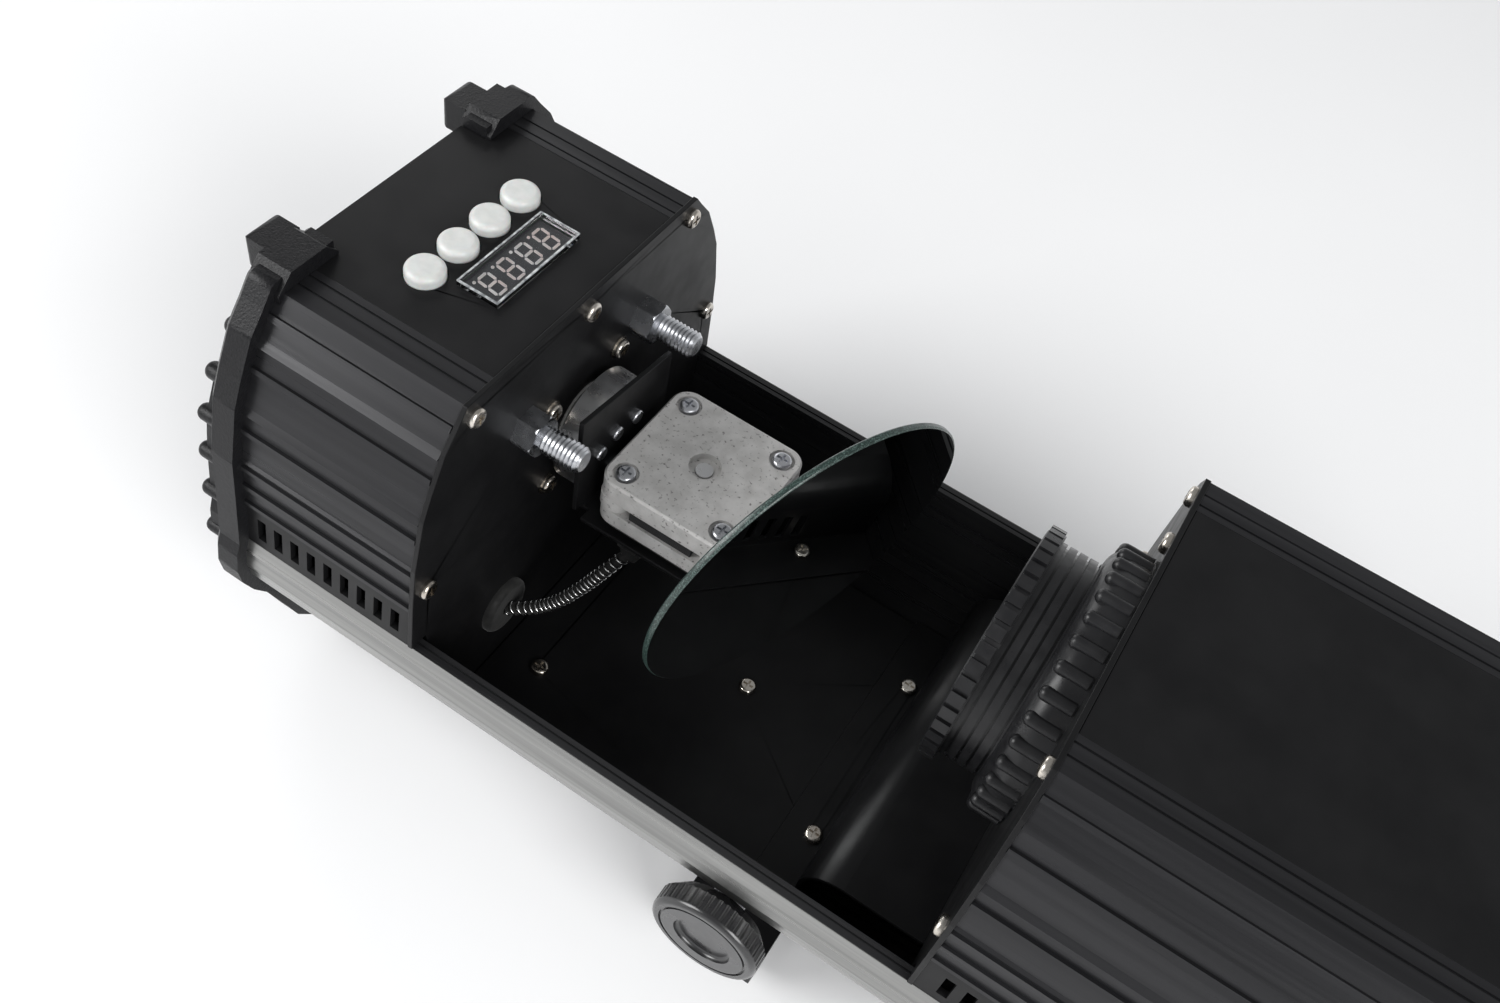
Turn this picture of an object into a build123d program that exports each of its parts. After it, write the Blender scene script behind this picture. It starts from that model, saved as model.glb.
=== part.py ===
from build123d import *
import math
import os

# Moving-mirror scanner light, millimetres.
# +X runs from the mirror head to the lamp house, +Z is up, and the origin is the middle of
# the footprint on the surface that the four rubber feet stand on.

# ---- driving dimensions -------------------------------------------------------------------
LENGTH = 434.0            # dome to dome
TOP_Z = 150.0             # top panels
BASE_Z = 13.0             # underside of the base tray
LEDGE_Z = 72.0            # top of the tray's rails, where the upper shells start
FLOOR_Z = 23.0            # floor plate between the two houses
PAN_Z = 103.0             # pan axis
LENS_Z = 111.0            # optical axis
PIVOT_Z = 42.0            # bracket pivot

DOME_DEPTH = 13.0
RIM_DEPTH = 9.0
RIM_PROUD = 3.5
DOME_INSET = 5.0
RIDGE_R = 2.6
RIDGE_COUNT = 30
CROWN_R = 225.0                      # roundness of the head cap's dome from top to bottom
CROWN_Z = 78.0
CROWN_WALL = 3.0
HEAD_X = -LENGTH / 2 + 80.0          # outer face of the head bulkhead
HEAD_BACK_X = HEAD_X - 58.0          # where the head shell meets its end cap
LAMP_X = HEAD_X + 155.8              # rear face of the lamp bulkhead
LAMP_BACK_X = LENGTH / 2 - DOME_DEPTH - RIM_DEPTH
PIVOT_X = HEAD_X + 105.0
SHEET = 1.5                          # steel sheet of panels and bulkheads
TONGUE_HALF = 29.7                   # the head's top panel reaches back between the corner blocks
SHELL_WALL = 2.2                     # ribbed aluminium side extrusions
GAP = 0.3                            # running gap between bodies

# ---- body section, half of it, as (y, z) from the top centre line down --------------------
PANEL_HALF = 38.0
SHELL_OUTLINE = [
    (PANEL_HALF, 150.0), (49.0, 150.0), (52.0, 146.0), (57.0, 140.0), (62.0, 130.0),
    (65.5, 122.0), (69.5, 105.0), (71.0, 90.0), (71.5, 86.3),
]
VENT_TOP_Z = 86.0
TRAY_OUTER = [
    (73.0, LEDGE_Z), (74.6, 68.0), (75.5, 62.5), (74.8, 57.0), (72.0, 50.5), (67.8, 44.0),
    (61.5, 28.0), (58.5, 20.0), (53.0, BASE_Z),
]
TRAY_INNER = [(50.0, 15.5), (55.5, 21.5), (58.0, 28.0), (64.5, 48.0), (68.0, 62.0), (69.0, LEDGE_Z)]

# ---- shell ribs: height of the rib, its width along the surface, how far it stands out ----
SHELL_RIBS = [
    (144.5, 2.2, 0.8), (139.6, 4.6, 1.0), (132.2, 1.8, 1.0), (122.0, 5.0, 1.0),
    (114.4, 1.8, 1.0), (105.0, 1.6, 0.8), (101.6, 1.6, 0.8), (94.7, 2.0, 0.9), (88.2, 1.6, 0.8),
]
VENT_PITCH = 5.8
VENT_SLOT = (2.9, 8.0)

# ---- screws -------------------------------------------------------------------------------
SCREW_R = 1.5
SCREW_HEAD_R = 2.9
SCREW_HEAD_H = 1.9
HEAD_SCREWS = [(-47.0, 145.0), (0.0, 144.5), (47.0, 145.0), (-66.5, 94.0), (66.5, 94.0)]
LAMP_SCREWS = [(-46.5, 145.0), (28.0, 145.2), (46.5, 145.0), (-66.0, 94.0), (66.0, 94.0)]
FLOOR_SCREWS = [(15.0, -34.0), (15.0, 34.0), (71.0, 0.0)]
STEP_SCREWS = [(113.5, -31.0), (113.5, 31.0)]

# ---- motors (NEMA 17 flange) --------------------------------------------------------------
MOTOR_SIDE = 42.3
MOTOR_SCREW_PITCH = 31.0
PAN_MOTOR_LENGTH = 34.0
TILT_X = HEAD_X + 40.0
TILT_Y = 1.6
TILT_TOP_Z = 110.0
REAR_CAP_H = 7.0
STATOR_H = 4.5
FRONT_CAP_H = 5.5
GASKET_H = 2.5
PLATE_TOP_Z = TILT_TOP_Z - REAR_CAP_H - STATOR_H - FRONT_CAP_H - GASKET_H

# ---- pan bracket and stops ----------------------------------------------------------------
HUB_R = 17.5
HUB_X0 = HEAD_X + 3.5
FLANGE_X0 = HEAD_X + 13.0
BRACKET_HALF = 21.2
BRACKET_LENGTH = 46.0
STUD_Y = 26.5
STUD_Z = 122.5
STUD_R = 3.9
STUD_TIP_X = HEAD_X + 19.0
STUD_CORE_R = STUD_R - 0.55
STUD_PITCH = 1.25
NUT_LENGTH = 6.4
HUB_SCREWS = [(-12.0, 109.0), (-4.5, 110.6), (5.0, 109.0), (-3.5, 96.0)]
ARM_Z = PLATE_TOP_Z - SHEET - 3.6     # top of the mirror arm's foot, below the shelf
ARM_T = 2.0

# ---- mirror -------------------------------------------------------------------------------
MIRROR_R = 51.2
MIRROR_T = 2.0
MIRROR_YAW = -21.1
MIRROR_LEAN = 4.8
MIRROR_FACE = Vector(HEAD_X + 76.2, -2.6, PAN_Z)

# ---- lens ---------------------------------------------------------------------------------
RING_R = 33.8
RING_X0 = HEAD_X + 127.5
RING_X1 = HEAD_X + 132.3
BARREL_R = 31.2
COLLAR_R = 39.2
COLLAR_X0 = HEAD_X + 143.5
LENS_R = 25.0
LENS_MID_X = RING_X0 + 7.0
LENS_HALF = 4.6
LENS_SPHERE_R = 90.0

# ---- controls -----------------------------------------------------------------------------
BUTTON_X = HEAD_X - 36.0
BUTTON_Y = [-21.6, -8.8, 4.0, 16.8]
BUTTON_R = 5.4
BUTTON_TRAVEL = 0.8
WINDOW = (-28.0, -15.0, -19.4, 15.2)

# ---- bracket (yoke) and knobs -------------------------------------------------------------
KNOB_R = 16.3
KNOB_FACE_Y = 83.4
KNOB_DISH = (8.8, 1.5)               # radius and depth of the hollow in its face
YOKE_T = 2.5
YOKE_WIDTH = 30.0
YOKE_FACE_Y = 73.7
YOKE_LOW_Z = 2.0
YOKE_HOLE_R = 5.25
PIVOT_R = 3.0
STUD_ROOT_Y = 64.6
STUD_END_Y = 80.0
EAR_R = 6.5

# ---- step cover under the lens ------------------------------------------------------------
STEP_SHEET = 1.2
STEP_X = HEAD_X + 118.0
STEP_TOP_Z = 58.0
STEP_BEND = 12.0
STEP_BACK_X = LAMP_X - SHEET

# ---- control board and display ------------------------------------------------------------
BOARD_Z = TOP_Z - 9.4
BOARD_T = 1.6

# ---- motor cable --------------------------------------------------------------------------
GROMMET = (-34.5, 47.0)
CABLE_D = 4.2
CABLE_ROUTE = [
    (HEAD_X + 2.6, -34.5, 47.0), (HEAD_X + 10.4, -32.9, 52.0), (HEAD_X + 16.7, -29.5, 57.6),
    (HEAD_X + 22.4, -24.8, 65.8), (HEAD_X + 26.4, -21.0, 73.4), (HEAD_X + 30.0, -16.2, 79.4),
]

# ---- rear fittings ------------------------------------------------------------------------
SKIN_X = LENGTH / 2 - 3.0            # outer face of the lamp cap's flat end
FAN_Z = 104.0
FAN_X1 = LENGTH / 2 - 6.2
SOCKET_Z = 48.0
DMX_Y = (-38.0, 38.0)
SWITCH_Y = 0.0
SWITCH_Z = 30.0

# ---- inside the lamp house ----------------------------------------------------------------
TRAY_FLOOR_Z = BASE_Z + 2.5
WHEEL_X = LAMP_X + 22.0
WHEEL_Z = 68.0
WHEEL_R = 52.0
FILTER_R = 8.6
OPTICS_X1 = LAMP_X + 120.0
CONDENSER_X = WHEEL_X + 45.0
CONDENSER_R = 14.9
CONDENSER_SPHERE_R = 24.0


# ---- helpers ------------------------------------------------------------------------------
def block(x0, x1, y0, y1, z0, z1):
    return Pos((x0 + x1) / 2, (y0 + y1) / 2, (z0 + z1) / 2) * Box(x1 - x0, y1 - y0, z1 - z0)


def rod_x(x0, x1, radius, y, z):
    return Pos((x0 + x1) / 2, y, z) * Rot(0, 90, 0) * Cylinder(radius, x1 - x0)


def rod_y(y0, y1, radius, x, z):
    return Pos(x, (y0 + y1) / 2, z) * Rot(90, 0, 0) * Cylinder(radius, y1 - y0)


def rod_z(z0, z1, radius, x, y):
    return Pos(x, y, (z0 + z1) / 2) * Cylinder(radius, z1 - z0)


def prism_x(points, x0, x1):
    """Closed (y, z) outline extruded from x0 to x1."""
    face = Plane.YZ * make_face(Polyline(*points, close=True))
    return Pos(x0, 0, 0) * extrude(face, x1 - x0)


def prism_y(points, y0, y1):
    """Closed (x, z) outline extruded from y0 to y1."""
    face = Plane.XZ * make_face(Polyline(*points, close=True))
    return Pos(0, y0, 0) * extrude(face, -(y1 - y0))


def flip(points):
    return [(-y, z) for y, z in reversed(points)]


def write(name, *solids):
    export_step(Compound(children=list(solids)) if len(solids) > 1 else solids[0], f"parts/{name}.step")


def pan_screw_x(x, y, z, length):
    """Cross-head pan screw whose head stands on the plane at x and faces +X."""
    head = rod_x(x, x + SCREW_HEAD_H, SCREW_HEAD_R, y, z)
    head = fillet(head.edges().group_by(Axis.X)[-1], 1.1)
    return head + rod_x(x - length, x, SCREW_R, y, z) - cross_x(x + SCREW_HEAD_H, y, z)


def cross_x(x, y, z):
    arms = block(x - 1.1, x + 1, y - 1.7, y + 1.7, z - 0.35, z + 0.35)
    return arms + block(x - 1.1, x + 1, y - 0.35, y + 0.35, z - 1.7, z + 1.7)


def pan_screw_z(x, y, z, length):
    """Cross-head pan screw whose head stands on the plane at z and faces up."""
    return Pos(x, y, z) * Rot(0, -90, 0) * pan_screw_x(0, 0, 0, length)


def hexagon_x(x0, x1, across_flats, y, z):
    face = Plane.YZ * RegularPolygon(across_flats / 2, 6, major_radius=False)
    return Pos(x0, y, z) * extrude(face, x1 - x0)


# ---- sections -----------------------------------------------------------------------------
def outline_normal(points, index):
    """Outward unit normal at a corner of an outline that runs down the right-hand side."""
    before = points[max(index - 1, 0)]
    after = points[min(index + 1, len(points) - 1)]
    dy = after[0] - before[0]
    dz = after[1] - before[1]
    length = math.hypot(dy, dz)
    return (-dz / length, dy / length)


def inset(points, wall):
    moved = []
    for index, (y, z) in enumerate(points):
        ny, nz = outline_normal(points, index)
        moved.append((y - wall * ny, z - wall * nz))
    return moved


def ribbed(points, ribs):
    """The outline with each rib raised from the facet that it lies on."""
    result = [points[0]]
    for start, end in zip(points, points[1:]):
        dy = end[0] - start[0]
        dz = end[1] - start[1]
        length = math.hypot(dy, dz)
        for height, width, proud in ribs:
            if not end[1] < height <= start[1]:
                continue
            middle = (start[1] - height) / -dz * length
            for along, out in ((-0.5, 0), (-0.4, proud), (0.4, proud), (0.5, 0)):
                t = (middle + along * width) / length
                if 0 < t < 1:
                    result.append((start[0] + t * dy - out * dz / length,
                                   start[1] + t * dz + out * dy / length))
        result.append(end)
    return result


def body_section(grow):
    """Whole outer section of the body as a face, grown outwards."""
    half = [(49.0, TOP_Z)] + SHELL_OUTLINE[2:-1] + TRAY_OUTER
    face = make_face(Polyline(*(half + flip(half)), close=True))
    if grow > 0:
        return offset(face, grow, kind=Kind.ARC)
    return offset(face, grow, kind=Kind.INTERSECTION) if grow < 0 else face


def section_slab(grow, x0, x1, taper=0):
    return Pos(x0, 0, 0) * extrude(Plane.YZ * body_section(grow), x1 - x0, taper=taper)


# ---- base ---------------------------------------------------------------------------------
def base_tray():
    outline = TRAY_OUTER + flip(TRAY_OUTER) + [(-y, z) for y, z in reversed(TRAY_INNER)] + TRAY_INNER
    tray = prism_x(outline, HEAD_BACK_X, LAMP_BACK_X)
    for side in (-1, 1):
        tray -= block(HEAD_BACK_X, LAMP_BACK_X, side * 70.7 - 0.3, side * 70.7 + 0.3,
                      LEDGE_Z - 0.6, LEDGE_Z + 1)
        tray += block(HEAD_X + 2, HEAD_X + 116, side * 49 - 3.2, side * 49 + 3.2, 15.0, FLOOR_Z - SHEET)
        tray -= rod_y(*sorted((side * STUD_ROOT_Y, side * 80)), PIVOT_R, PIVOT_X, PIVOT_Z)
    for dx, y in FLOOR_SCREWS + STEP_SCREWS:
        post = rod_z(15.0, FLOOR_Z - SHEET, 4.0, HEAD_X + dx, y)
        tray += post
        tray -= rod_z(16.0, FLOOR_Z, SCREW_R + 0.05, HEAD_X + dx, y)
    for x, y in foot_places():
        tray -= rod_z(BASE_Z - 1, 20.0, 2.05, x, y)
    return tray


def floor_plate():
    plate = block(HEAD_X + 0.2, HEAD_X + 116.5, -55.0, 55.0, FLOOR_Z - SHEET, FLOOR_Z)
    for dx, y in FLOOR_SCREWS + STEP_SCREWS:
        plate -= rod_z(FLOOR_Z - 3, FLOOR_Z + 1, SCREW_R + 0.1, HEAD_X + dx, y)
    return plate


def step_cover():
    """Sheet that rises behind the mirror and runs back under the lens, with a row of vents."""
    outer = step_line(0.0)
    inner = step_line(STEP_SHEET)
    face = make_face(outer + inner + [Line(outer[0] @ 0, inner[0] @ 0), Line(outer[-1] @ 1, inner[-1] @ 1)])
    cover = extrude(Plane.XZ * face, 56.0, both=True)
    for index in range(-5, 6):
        y = index * 5.6
        cover -= block(STEP_X - 1, STEP_X + 3, y - 1.4, y + 1.4, FLOOR_Z + 5.5, FLOOR_Z + 19.5)
    for dx, y in STEP_SCREWS:
        cover -= rod_z(FLOOR_Z - 3, FLOOR_Z + 4, SCREW_R + 0.1, HEAD_X + dx, y)
    return cover


def step_line(depth):
    """Edges of the cover's outer (depth 0) or inner line in the XZ plane, front flange first."""
    foot_z = FLOOR_Z + STEP_SHEET - depth
    face_x = STEP_X + depth
    top_z = STEP_TOP_Z - depth
    bend = STEP_BEND - depth
    centre = (STEP_X + STEP_BEND, STEP_TOP_Z - STEP_BEND)
    return [
        Line((HEAD_X + 104.0, foot_z), (face_x, foot_z)),
        Line((face_x, foot_z), (face_x, centre[1])),
        ThreePointArc((face_x, centre[1]),
                      (centre[0] - bend * math.sqrt(0.5), centre[1] + bend * math.sqrt(0.5)),
                      (centre[0], top_z)),
        Line((centre[0], top_z), (STEP_BACK_X, top_z)),
    ]


def foot_places():
    return [(x, y) for x in (-LENGTH / 2 + 55, LENGTH / 2 - 55) for y in (-38.0, 38.0)]


def rubber_foot(x, y):
    foot = rod_z(0, BASE_Z, 9.0, x, y)
    foot = fillet(foot.edges().group_by(Axis.Z)[0], 1.5)
    return foot - rod_z(-1, 6.0, 4.0, x, y) + rod_z(BASE_Z, TRAY_FLOOR_Z - 0.1, 2.0, x, y)


# ---- upper shells -------------------------------------------------------------------------
def side_shell(side, x0, x1):
    outer = ribbed(SHELL_OUTLINE, SHELL_RIBS)
    inner = inset(SHELL_OUTLINE, SHELL_WALL)
    inner[0] = (PANEL_HALF, TOP_Z - SHELL_WALL)
    shell = prism_x(outer + inner[::-1], x0, x1)
    for y in (40.3, 44.2):
        shell -= block(x0, x1, y - 0.35, y + 0.35, TOP_Z - 0.6, TOP_Z + 1)
    return shell if side > 0 else mirror(shell, Plane.XZ)


def vent_grille(side, x0, x1):
    outer = [(71.3, VENT_TOP_Z), (72.9, LEDGE_Z)]
    strip = prism_x(outer + [(70.9, LEDGE_Z), (69.3, VENT_TOP_Z)], x0, x1)
    count = int((x1 - x0 - 4) // VENT_PITCH)
    first = (x0 + x1) / 2 - (count - 1) * VENT_PITCH / 2
    width, height = VENT_SLOT
    for index in range(count):
        x = first + index * VENT_PITCH
        strip -= block(x - width / 2, x + width / 2, 66, 76, 75.0, 75.0 + height)
    return strip if side > 0 else mirror(strip, Plane.XZ)


def head_top_panel():
    panel = block(HEAD_BACK_X, HEAD_X - SHEET, -PANEL_HALF, PANEL_HALF, TOP_Z - SHEET, TOP_Z)
    panel += block(HEAD_BACK_X - RIM_DEPTH + GAP, HEAD_BACK_X, -TONGUE_HALF, TONGUE_HALF, TOP_Z - SHEET, TOP_Z)
    for y in BUTTON_Y:
        panel -= rod_z(TOP_Z - 3, TOP_Z + 1, BUTTON_R + GAP, BUTTON_X, y)
    x0, x1, y0, y1 = WINDOW
    return panel - block(HEAD_X + x0, HEAD_X + x1, y0, y1, TOP_Z - 3, TOP_Z + 1)


def lamp_top_panel():
    return block(LAMP_X, LAMP_BACK_X, -PANEL_HALF, PANEL_HALF, TOP_Z - SHEET, TOP_Z)


def bulkhead_outline(bottom_z):
    """Upper part as wide as the shells, lower part inside the tray's walls."""
    half = [(49.4, TOP_Z + 0.3), (52.6, 146.2), (57.8, 140.0), (62.9, 130.0), (66.4, 122.0),
            (70.3, 105.0), (72.0, 90.0), (73.4, LEDGE_Z), (67.6, LEDGE_Z), (66.8, 62.0), (63.4, 48.0),
            (53.8, 18.0)]
    kept = [point for point in half if point[1] > bottom_z]
    above = kept[-1]
    below = half[len(kept)]
    share = (above[1] - bottom_z) / (above[1] - below[1])
    kept.append((above[0] + share * (below[0] - above[0]), bottom_z))
    return kept + flip(kept)


def head_bulkhead():
    plate = prism_x(bulkhead_outline(FLOOR_Z + 0.1), HEAD_X - SHEET, HEAD_X)
    holes = HEAD_SCREWS + motor_corners(0.0, PAN_Z)
    for y, z in holes:
        plate -= rod_x(HEAD_X - 3, HEAD_X + 1, SCREW_R + 0.1, y, z)
    for y in (-STUD_Y, STUD_Y):
        plate -= rod_x(HEAD_X - 3, HEAD_X + 1, STUD_R + 0.1, y, STUD_Z)
    plate -= rod_x(HEAD_X - 3, HEAD_X + 1, 11.2, 0, PAN_Z)
    return plate - rod_x(HEAD_X - 3, HEAD_X + 1, 6.5, *GROMMET)


def lamp_bulkhead():
    plate = prism_x(bulkhead_outline(STEP_TOP_Z + 0.2), LAMP_X - SHEET, LAMP_X)
    for y, z in LAMP_SCREWS:
        plate -= rod_x(LAMP_X - 3, LAMP_X + 1, SCREW_R + 0.1, y, z)
    return plate - rod_x(LAMP_X - 3, LAMP_X + 1, BARREL_R + 1.0, 0, LENS_Z)


def motor_corners(u, v):
    half = MOTOR_SCREW_PITCH / 2
    return [(u - half, v - half), (u - half, v + half), (u + half, v - half), (u + half, v + half)]


# ---- end caps -----------------------------------------------------------------------------
def crown_drop(z):
    """How far the crowned dome has fallen away from its deepest line at a height."""
    return CROWN_R - math.sqrt(CROWN_R ** 2 - (z - CROWN_Z) ** 2)


def crown(wall):
    """Drum that rounds off the head cap's dome, or the hollow a wall's thickness inside it."""
    return rod_y(-100, 100, CROWN_R, CROWN_R + CROWN_WALL + wall - LENGTH / 2, CROWN_Z)


def perimeter_ridges(x1, crowned):
    """Rounded ridges round the dome, evenly spaced along its outline, bottom left plain."""
    rail = body_section(-DOME_INSET - 1.0).face().outer_wire()
    ridges = []
    for index in range(RIDGE_COUNT):
        point = rail @ (index / RIDGE_COUNT)
        if point.Y < BASE_Z + 12 or (point.Y > TOP_Z - 10 and abs(point.X) < 46):
            continue
        x0 = -LENGTH / 2 + (crown_drop(point.Y) if crowned else 0)
        ridge = rod_x(x0, x1, RIDGE_R, point.X, point.Y)
        ridges.append(fillet(ridge.edges().group_by(Axis.X)[0], RIDGE_R - 0.4))
    return ridges


def corner_block(y, x0, x1):
    """Chamfered block on a top corner of the rim, with a prong behind it."""
    low_z = TOP_Z - 8
    top = TOP_Z + 5.0
    outline = [(y - 10, low_z), (y - 10, top - 4), (y - 6, top), (y + 6, top), (y + 11, top - 5),
               (y + 11, low_z)]
    prong = block(x0 - 8.5, x0, y - 8, y + 3, TOP_Z - 6, TOP_Z + 3.6)
    return [prism_x(outline, x0, x1), fillet(prong.edges().group_by(Axis.X)[0], 2.0)]


def end_cap(crowned):
    """A cap with its dome towards -X, hollow behind its rim."""
    rim_x0 = HEAD_BACK_X - RIM_DEPTH
    rim = section_slab(RIM_PROUD, rim_x0, HEAD_BACK_X)
    rim = chamfer(rim.faces().sort_by(Axis.X)[0].edges(), 1.8)
    dome = section_slab(-DOME_INSET, CROWN_WALL - LENGTH / 2, rim_x0)
    dome = dome & crown(0) if crowned else chamfer(dome.faces().sort_by(Axis.X)[0].edges(), 3.0)
    cap = rim + dome + perimeter_ridges(rim_x0, crowned)
    for side in (-1, 1):
        for piece in corner_block(40.0, rim_x0, HEAD_BACK_X + 1.5):
            cap += piece if side > 0 else mirror(piece, Plane.XZ)
    hollow = section_slab(-9.0, 2 * CROWN_WALL - LENGTH / 2, HEAD_BACK_X)
    cap -= hollow & crown(CROWN_WALL) if crowned else hollow
    return cap - section_slab(0.25, HEAD_BACK_X, HEAD_BACK_X + 3)


def head_end_cap():
    """The crowned cap, its rim cut away between the corner blocks for the top panel's tongue."""
    half = TONGUE_HALF + GAP
    return end_cap(True) - block(HEAD_BACK_X - RIM_DEPTH - 1, HEAD_BACK_X + 3, -half, half,
                                 TOP_Z - SHEET - GAP, TOP_Z + RIM_PROUD + 1)


def lamp_end_cap():
    cap = mirror(end_cap(False), Plane.YZ)
    x0 = LENGTH / 2 - DOME_DEPTH - 1
    cap -= rod_x(x0, LENGTH / 2 + 1, 27.0, 0, FAN_Z)
    for y in DMX_Y:
        cap -= rod_x(x0, LENGTH / 2 + 1, 11.6, y, SOCKET_Z)
    cap -= block(x0, LENGTH / 2 + 1, -14.1, 14.1, SOCKET_Z - 10.1, SOCKET_Z + 10.1)
    cap -= block(x0, LENGTH / 2 + 1, SWITCH_Y - 10.6, SWITCH_Y + 10.6, SWITCH_Z - 7.6, SWITCH_Z + 7.6)
    return cap


# ---- rear fittings ------------------------------------------------------------------------
def fan_frame():
    frame = block(FAN_X1 - 15, FAN_X1, -30, 30, FAN_Z - 30, FAN_Z + 30)
    frame = fillet(frame.edges().filter_by(Axis.X), 3.0)
    frame -= rod_x(FAN_X1 - 16, FAN_X1 + 1, 28.0, 0, FAN_Z)
    frame += rod_x(FAN_X1 - 15, FAN_X1 - 13, 12.0, 0, FAN_Z)
    for angle in (45, 135):
        spoke = block(-1, 1, -1.5, 1.5, -29, 29)
        frame += Pos(FAN_X1 - 14, 0, FAN_Z) * Rot(angle, 0, 0) * spoke
    return frame - rod_x(FAN_X1 - 16, FAN_X1, 2.0, 0, FAN_Z)


def fan_rotor():
    rotor = rod_x(FAN_X1 - 12.6, FAN_X1 - 1.5, 11.5, 0, FAN_Z)
    rotor += rod_x(FAN_X1 - 15, FAN_X1 - 12.6, 1.95, 0, FAN_Z)
    for index in range(7):
        blade = Pos(0, 0, 18.6) * Rot(0, 0, 38) * Box(11.5, 1.3, 16.4)
        rotor += Pos(FAN_X1 - 7.0, 0, FAN_Z) * Rot(index * 360 / 7, 0, 0) * blade
    return rotor


def dmx_socket(y):
    shell = rod_x(SKIN_X - 14, SKIN_X + 1.6, 11.4, y, SOCKET_Z)
    shell += rod_x(SKIN_X, SKIN_X + 1.6, 13.0, y, SOCKET_Z)
    shell -= rod_x(SKIN_X - 8, SKIN_X + 3, 9.4, y, SOCKET_Z)
    for angle in (90, 210, 330):
        dy = 4.0 * math.cos(math.radians(angle))
        dz = 4.0 * math.sin(math.radians(angle))
        shell += rod_x(SKIN_X - 9, SKIN_X - 1.5, 1.0, y + dy, SOCKET_Z + dz)
    return shell


def mains_inlet():
    inlet = block(SKIN_X - 14, SKIN_X, -14.0, 14.0, SOCKET_Z - 10.0, SOCKET_Z + 10.0)
    inlet += block(SKIN_X, SKIN_X + 1.6, -16.0, 16.0, SOCKET_Z - 10.0, SOCKET_Z + 12.0)
    inlet -= block(SKIN_X - 11, SKIN_X + 3, -12.0, 12.0, SOCKET_Z - 8.0, SOCKET_Z + 8.0)
    for y, z in ((-7.0, -1.5), (0.0, 2.5), (7.0, -1.5)):
        inlet += block(SKIN_X - 12, SKIN_X - 2, y - 1, y + 1, SOCKET_Z + z - 2, SOCKET_Z + z + 2)
    return inlet


def switch_frame():
    frame = block(SKIN_X - 12, SKIN_X, SWITCH_Y - 10.4, SWITCH_Y + 10.4, SWITCH_Z - 7.4, SWITCH_Z + 7.4)
    frame -= block(SKIN_X - 9, SKIN_X + 1, SWITCH_Y - 8.6, SWITCH_Y + 8.6, SWITCH_Z - 5.4, SWITCH_Z + 5.4)
    return frame


def switch_rocker():
    outline = [(-3.6, -8.0), (-0.4, -8.0), (1.4, -7.2), (0.0, 0.0), (0.3, 7.2), (-0.6, 8.0), (-3.6, 8.0)]
    face = make_face(Polyline(*outline, close=True))
    rocker = extrude(face, 5.0, both=True)
    return Pos(SKIN_X, SWITCH_Y, SWITCH_Z) * rocker


# ---- controls -----------------------------------------------------------------------------
def button(y):
    cap = rod_z(TOP_Z - 2.6, TOP_Z + 3.0, BUTTON_R, BUTTON_X, y)
    cap = fillet(cap.edges().group_by(Axis.Z)[-1], 1.6)
    flange = rod_z(TOP_Z - 3.6, TOP_Z - 2.6, BUTTON_R + 0.9, BUTTON_X, y)
    return cap + flange + rod_z(TOP_Z - 5.0, TOP_Z - 3.6, 1.6, BUTTON_X, y)


def tact_switch(y):
    return block(BUTTON_X - 3, BUTTON_X + 3, y - 3, y + 3, BOARD_Z, BOARD_Z + 3.4)


def control_board():
    """Board with its chips and key switches, hung from the top panel on four spacers."""
    board = block(HEAD_X - 52, HEAD_X - 6, -36, 36, BOARD_Z - BOARD_T, BOARD_Z)
    chips = [(-50, -42, -30, -22), (-16, -10, 22, 32), (-48, -44, 24, 30)]
    for x0, x1, y0, y1 in chips:
        board += block(HEAD_X + x0, HEAD_X + x1, y0, y1, BOARD_Z - BOARD_T - 2.5, BOARD_Z - BOARD_T)
    for y in BUTTON_Y:
        board += tact_switch(y)
    for dx in (-50.0, -9.0):
        for y in (-34.0, 34.0):
            board += rod_z(BOARD_Z, TOP_Z - SHEET, 2.2, HEAD_X + dx, y)
    return board


def display_window():
    x0, x1, y0, y1 = WINDOW
    return block(HEAD_X + x0 + 0.1, HEAD_X + x1 - 0.1, y0 + 0.1, y1 - 0.1, TOP_Z - SHEET, TOP_Z + 1.6)


def display_module():
    x0, x1, y0, y1 = WINDOW
    return block(HEAD_X + x0 + 0.6, HEAD_X + x1 - 0.6, y0 + 1.5, y1 - 1.5, BOARD_Z, TOP_Z - SHEET - 0.2)


# ---- head fittings ------------------------------------------------------------------------
def cable_grommet():
    y, z = GROMMET
    ring = rod_x(HEAD_X, HEAD_X + 2.6, 9.2, y, z)
    ring = fillet(ring.edges().group_by(Axis.X)[-1], 1.8)
    ring += rod_x(HEAD_X - SHEET, HEAD_X, 6.4, y, z)
    ring += rod_x(HEAD_X - SHEET - 2, HEAD_X - SHEET, 8.6, y, z)
    return ring - rod_x(HEAD_X - 5, HEAD_X + 4, 2.5, y, z)


def pan_motor():
    body = block(HEAD_X - SHEET - PAN_MOTOR_LENGTH, HEAD_X - SHEET, -MOTOR_SIDE / 2, MOTOR_SIDE / 2,
                 PAN_Z - MOTOR_SIDE / 2, PAN_Z + MOTOR_SIDE / 2)
    body = fillet(body.edges().filter_by(Axis.X), 4.0)
    body += rod_x(HEAD_X - SHEET, HEAD_X + 0.6, 11.0, 0, PAN_Z)
    body -= rod_x(HEAD_X - 24, HEAD_X + 2, 2.55, 0, PAN_Z)
    for y, z in motor_corners(0.0, PAN_Z):
        body -= rod_x(HEAD_X - 8, HEAD_X, SCREW_R + 0.05, y, z)
    return body


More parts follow.
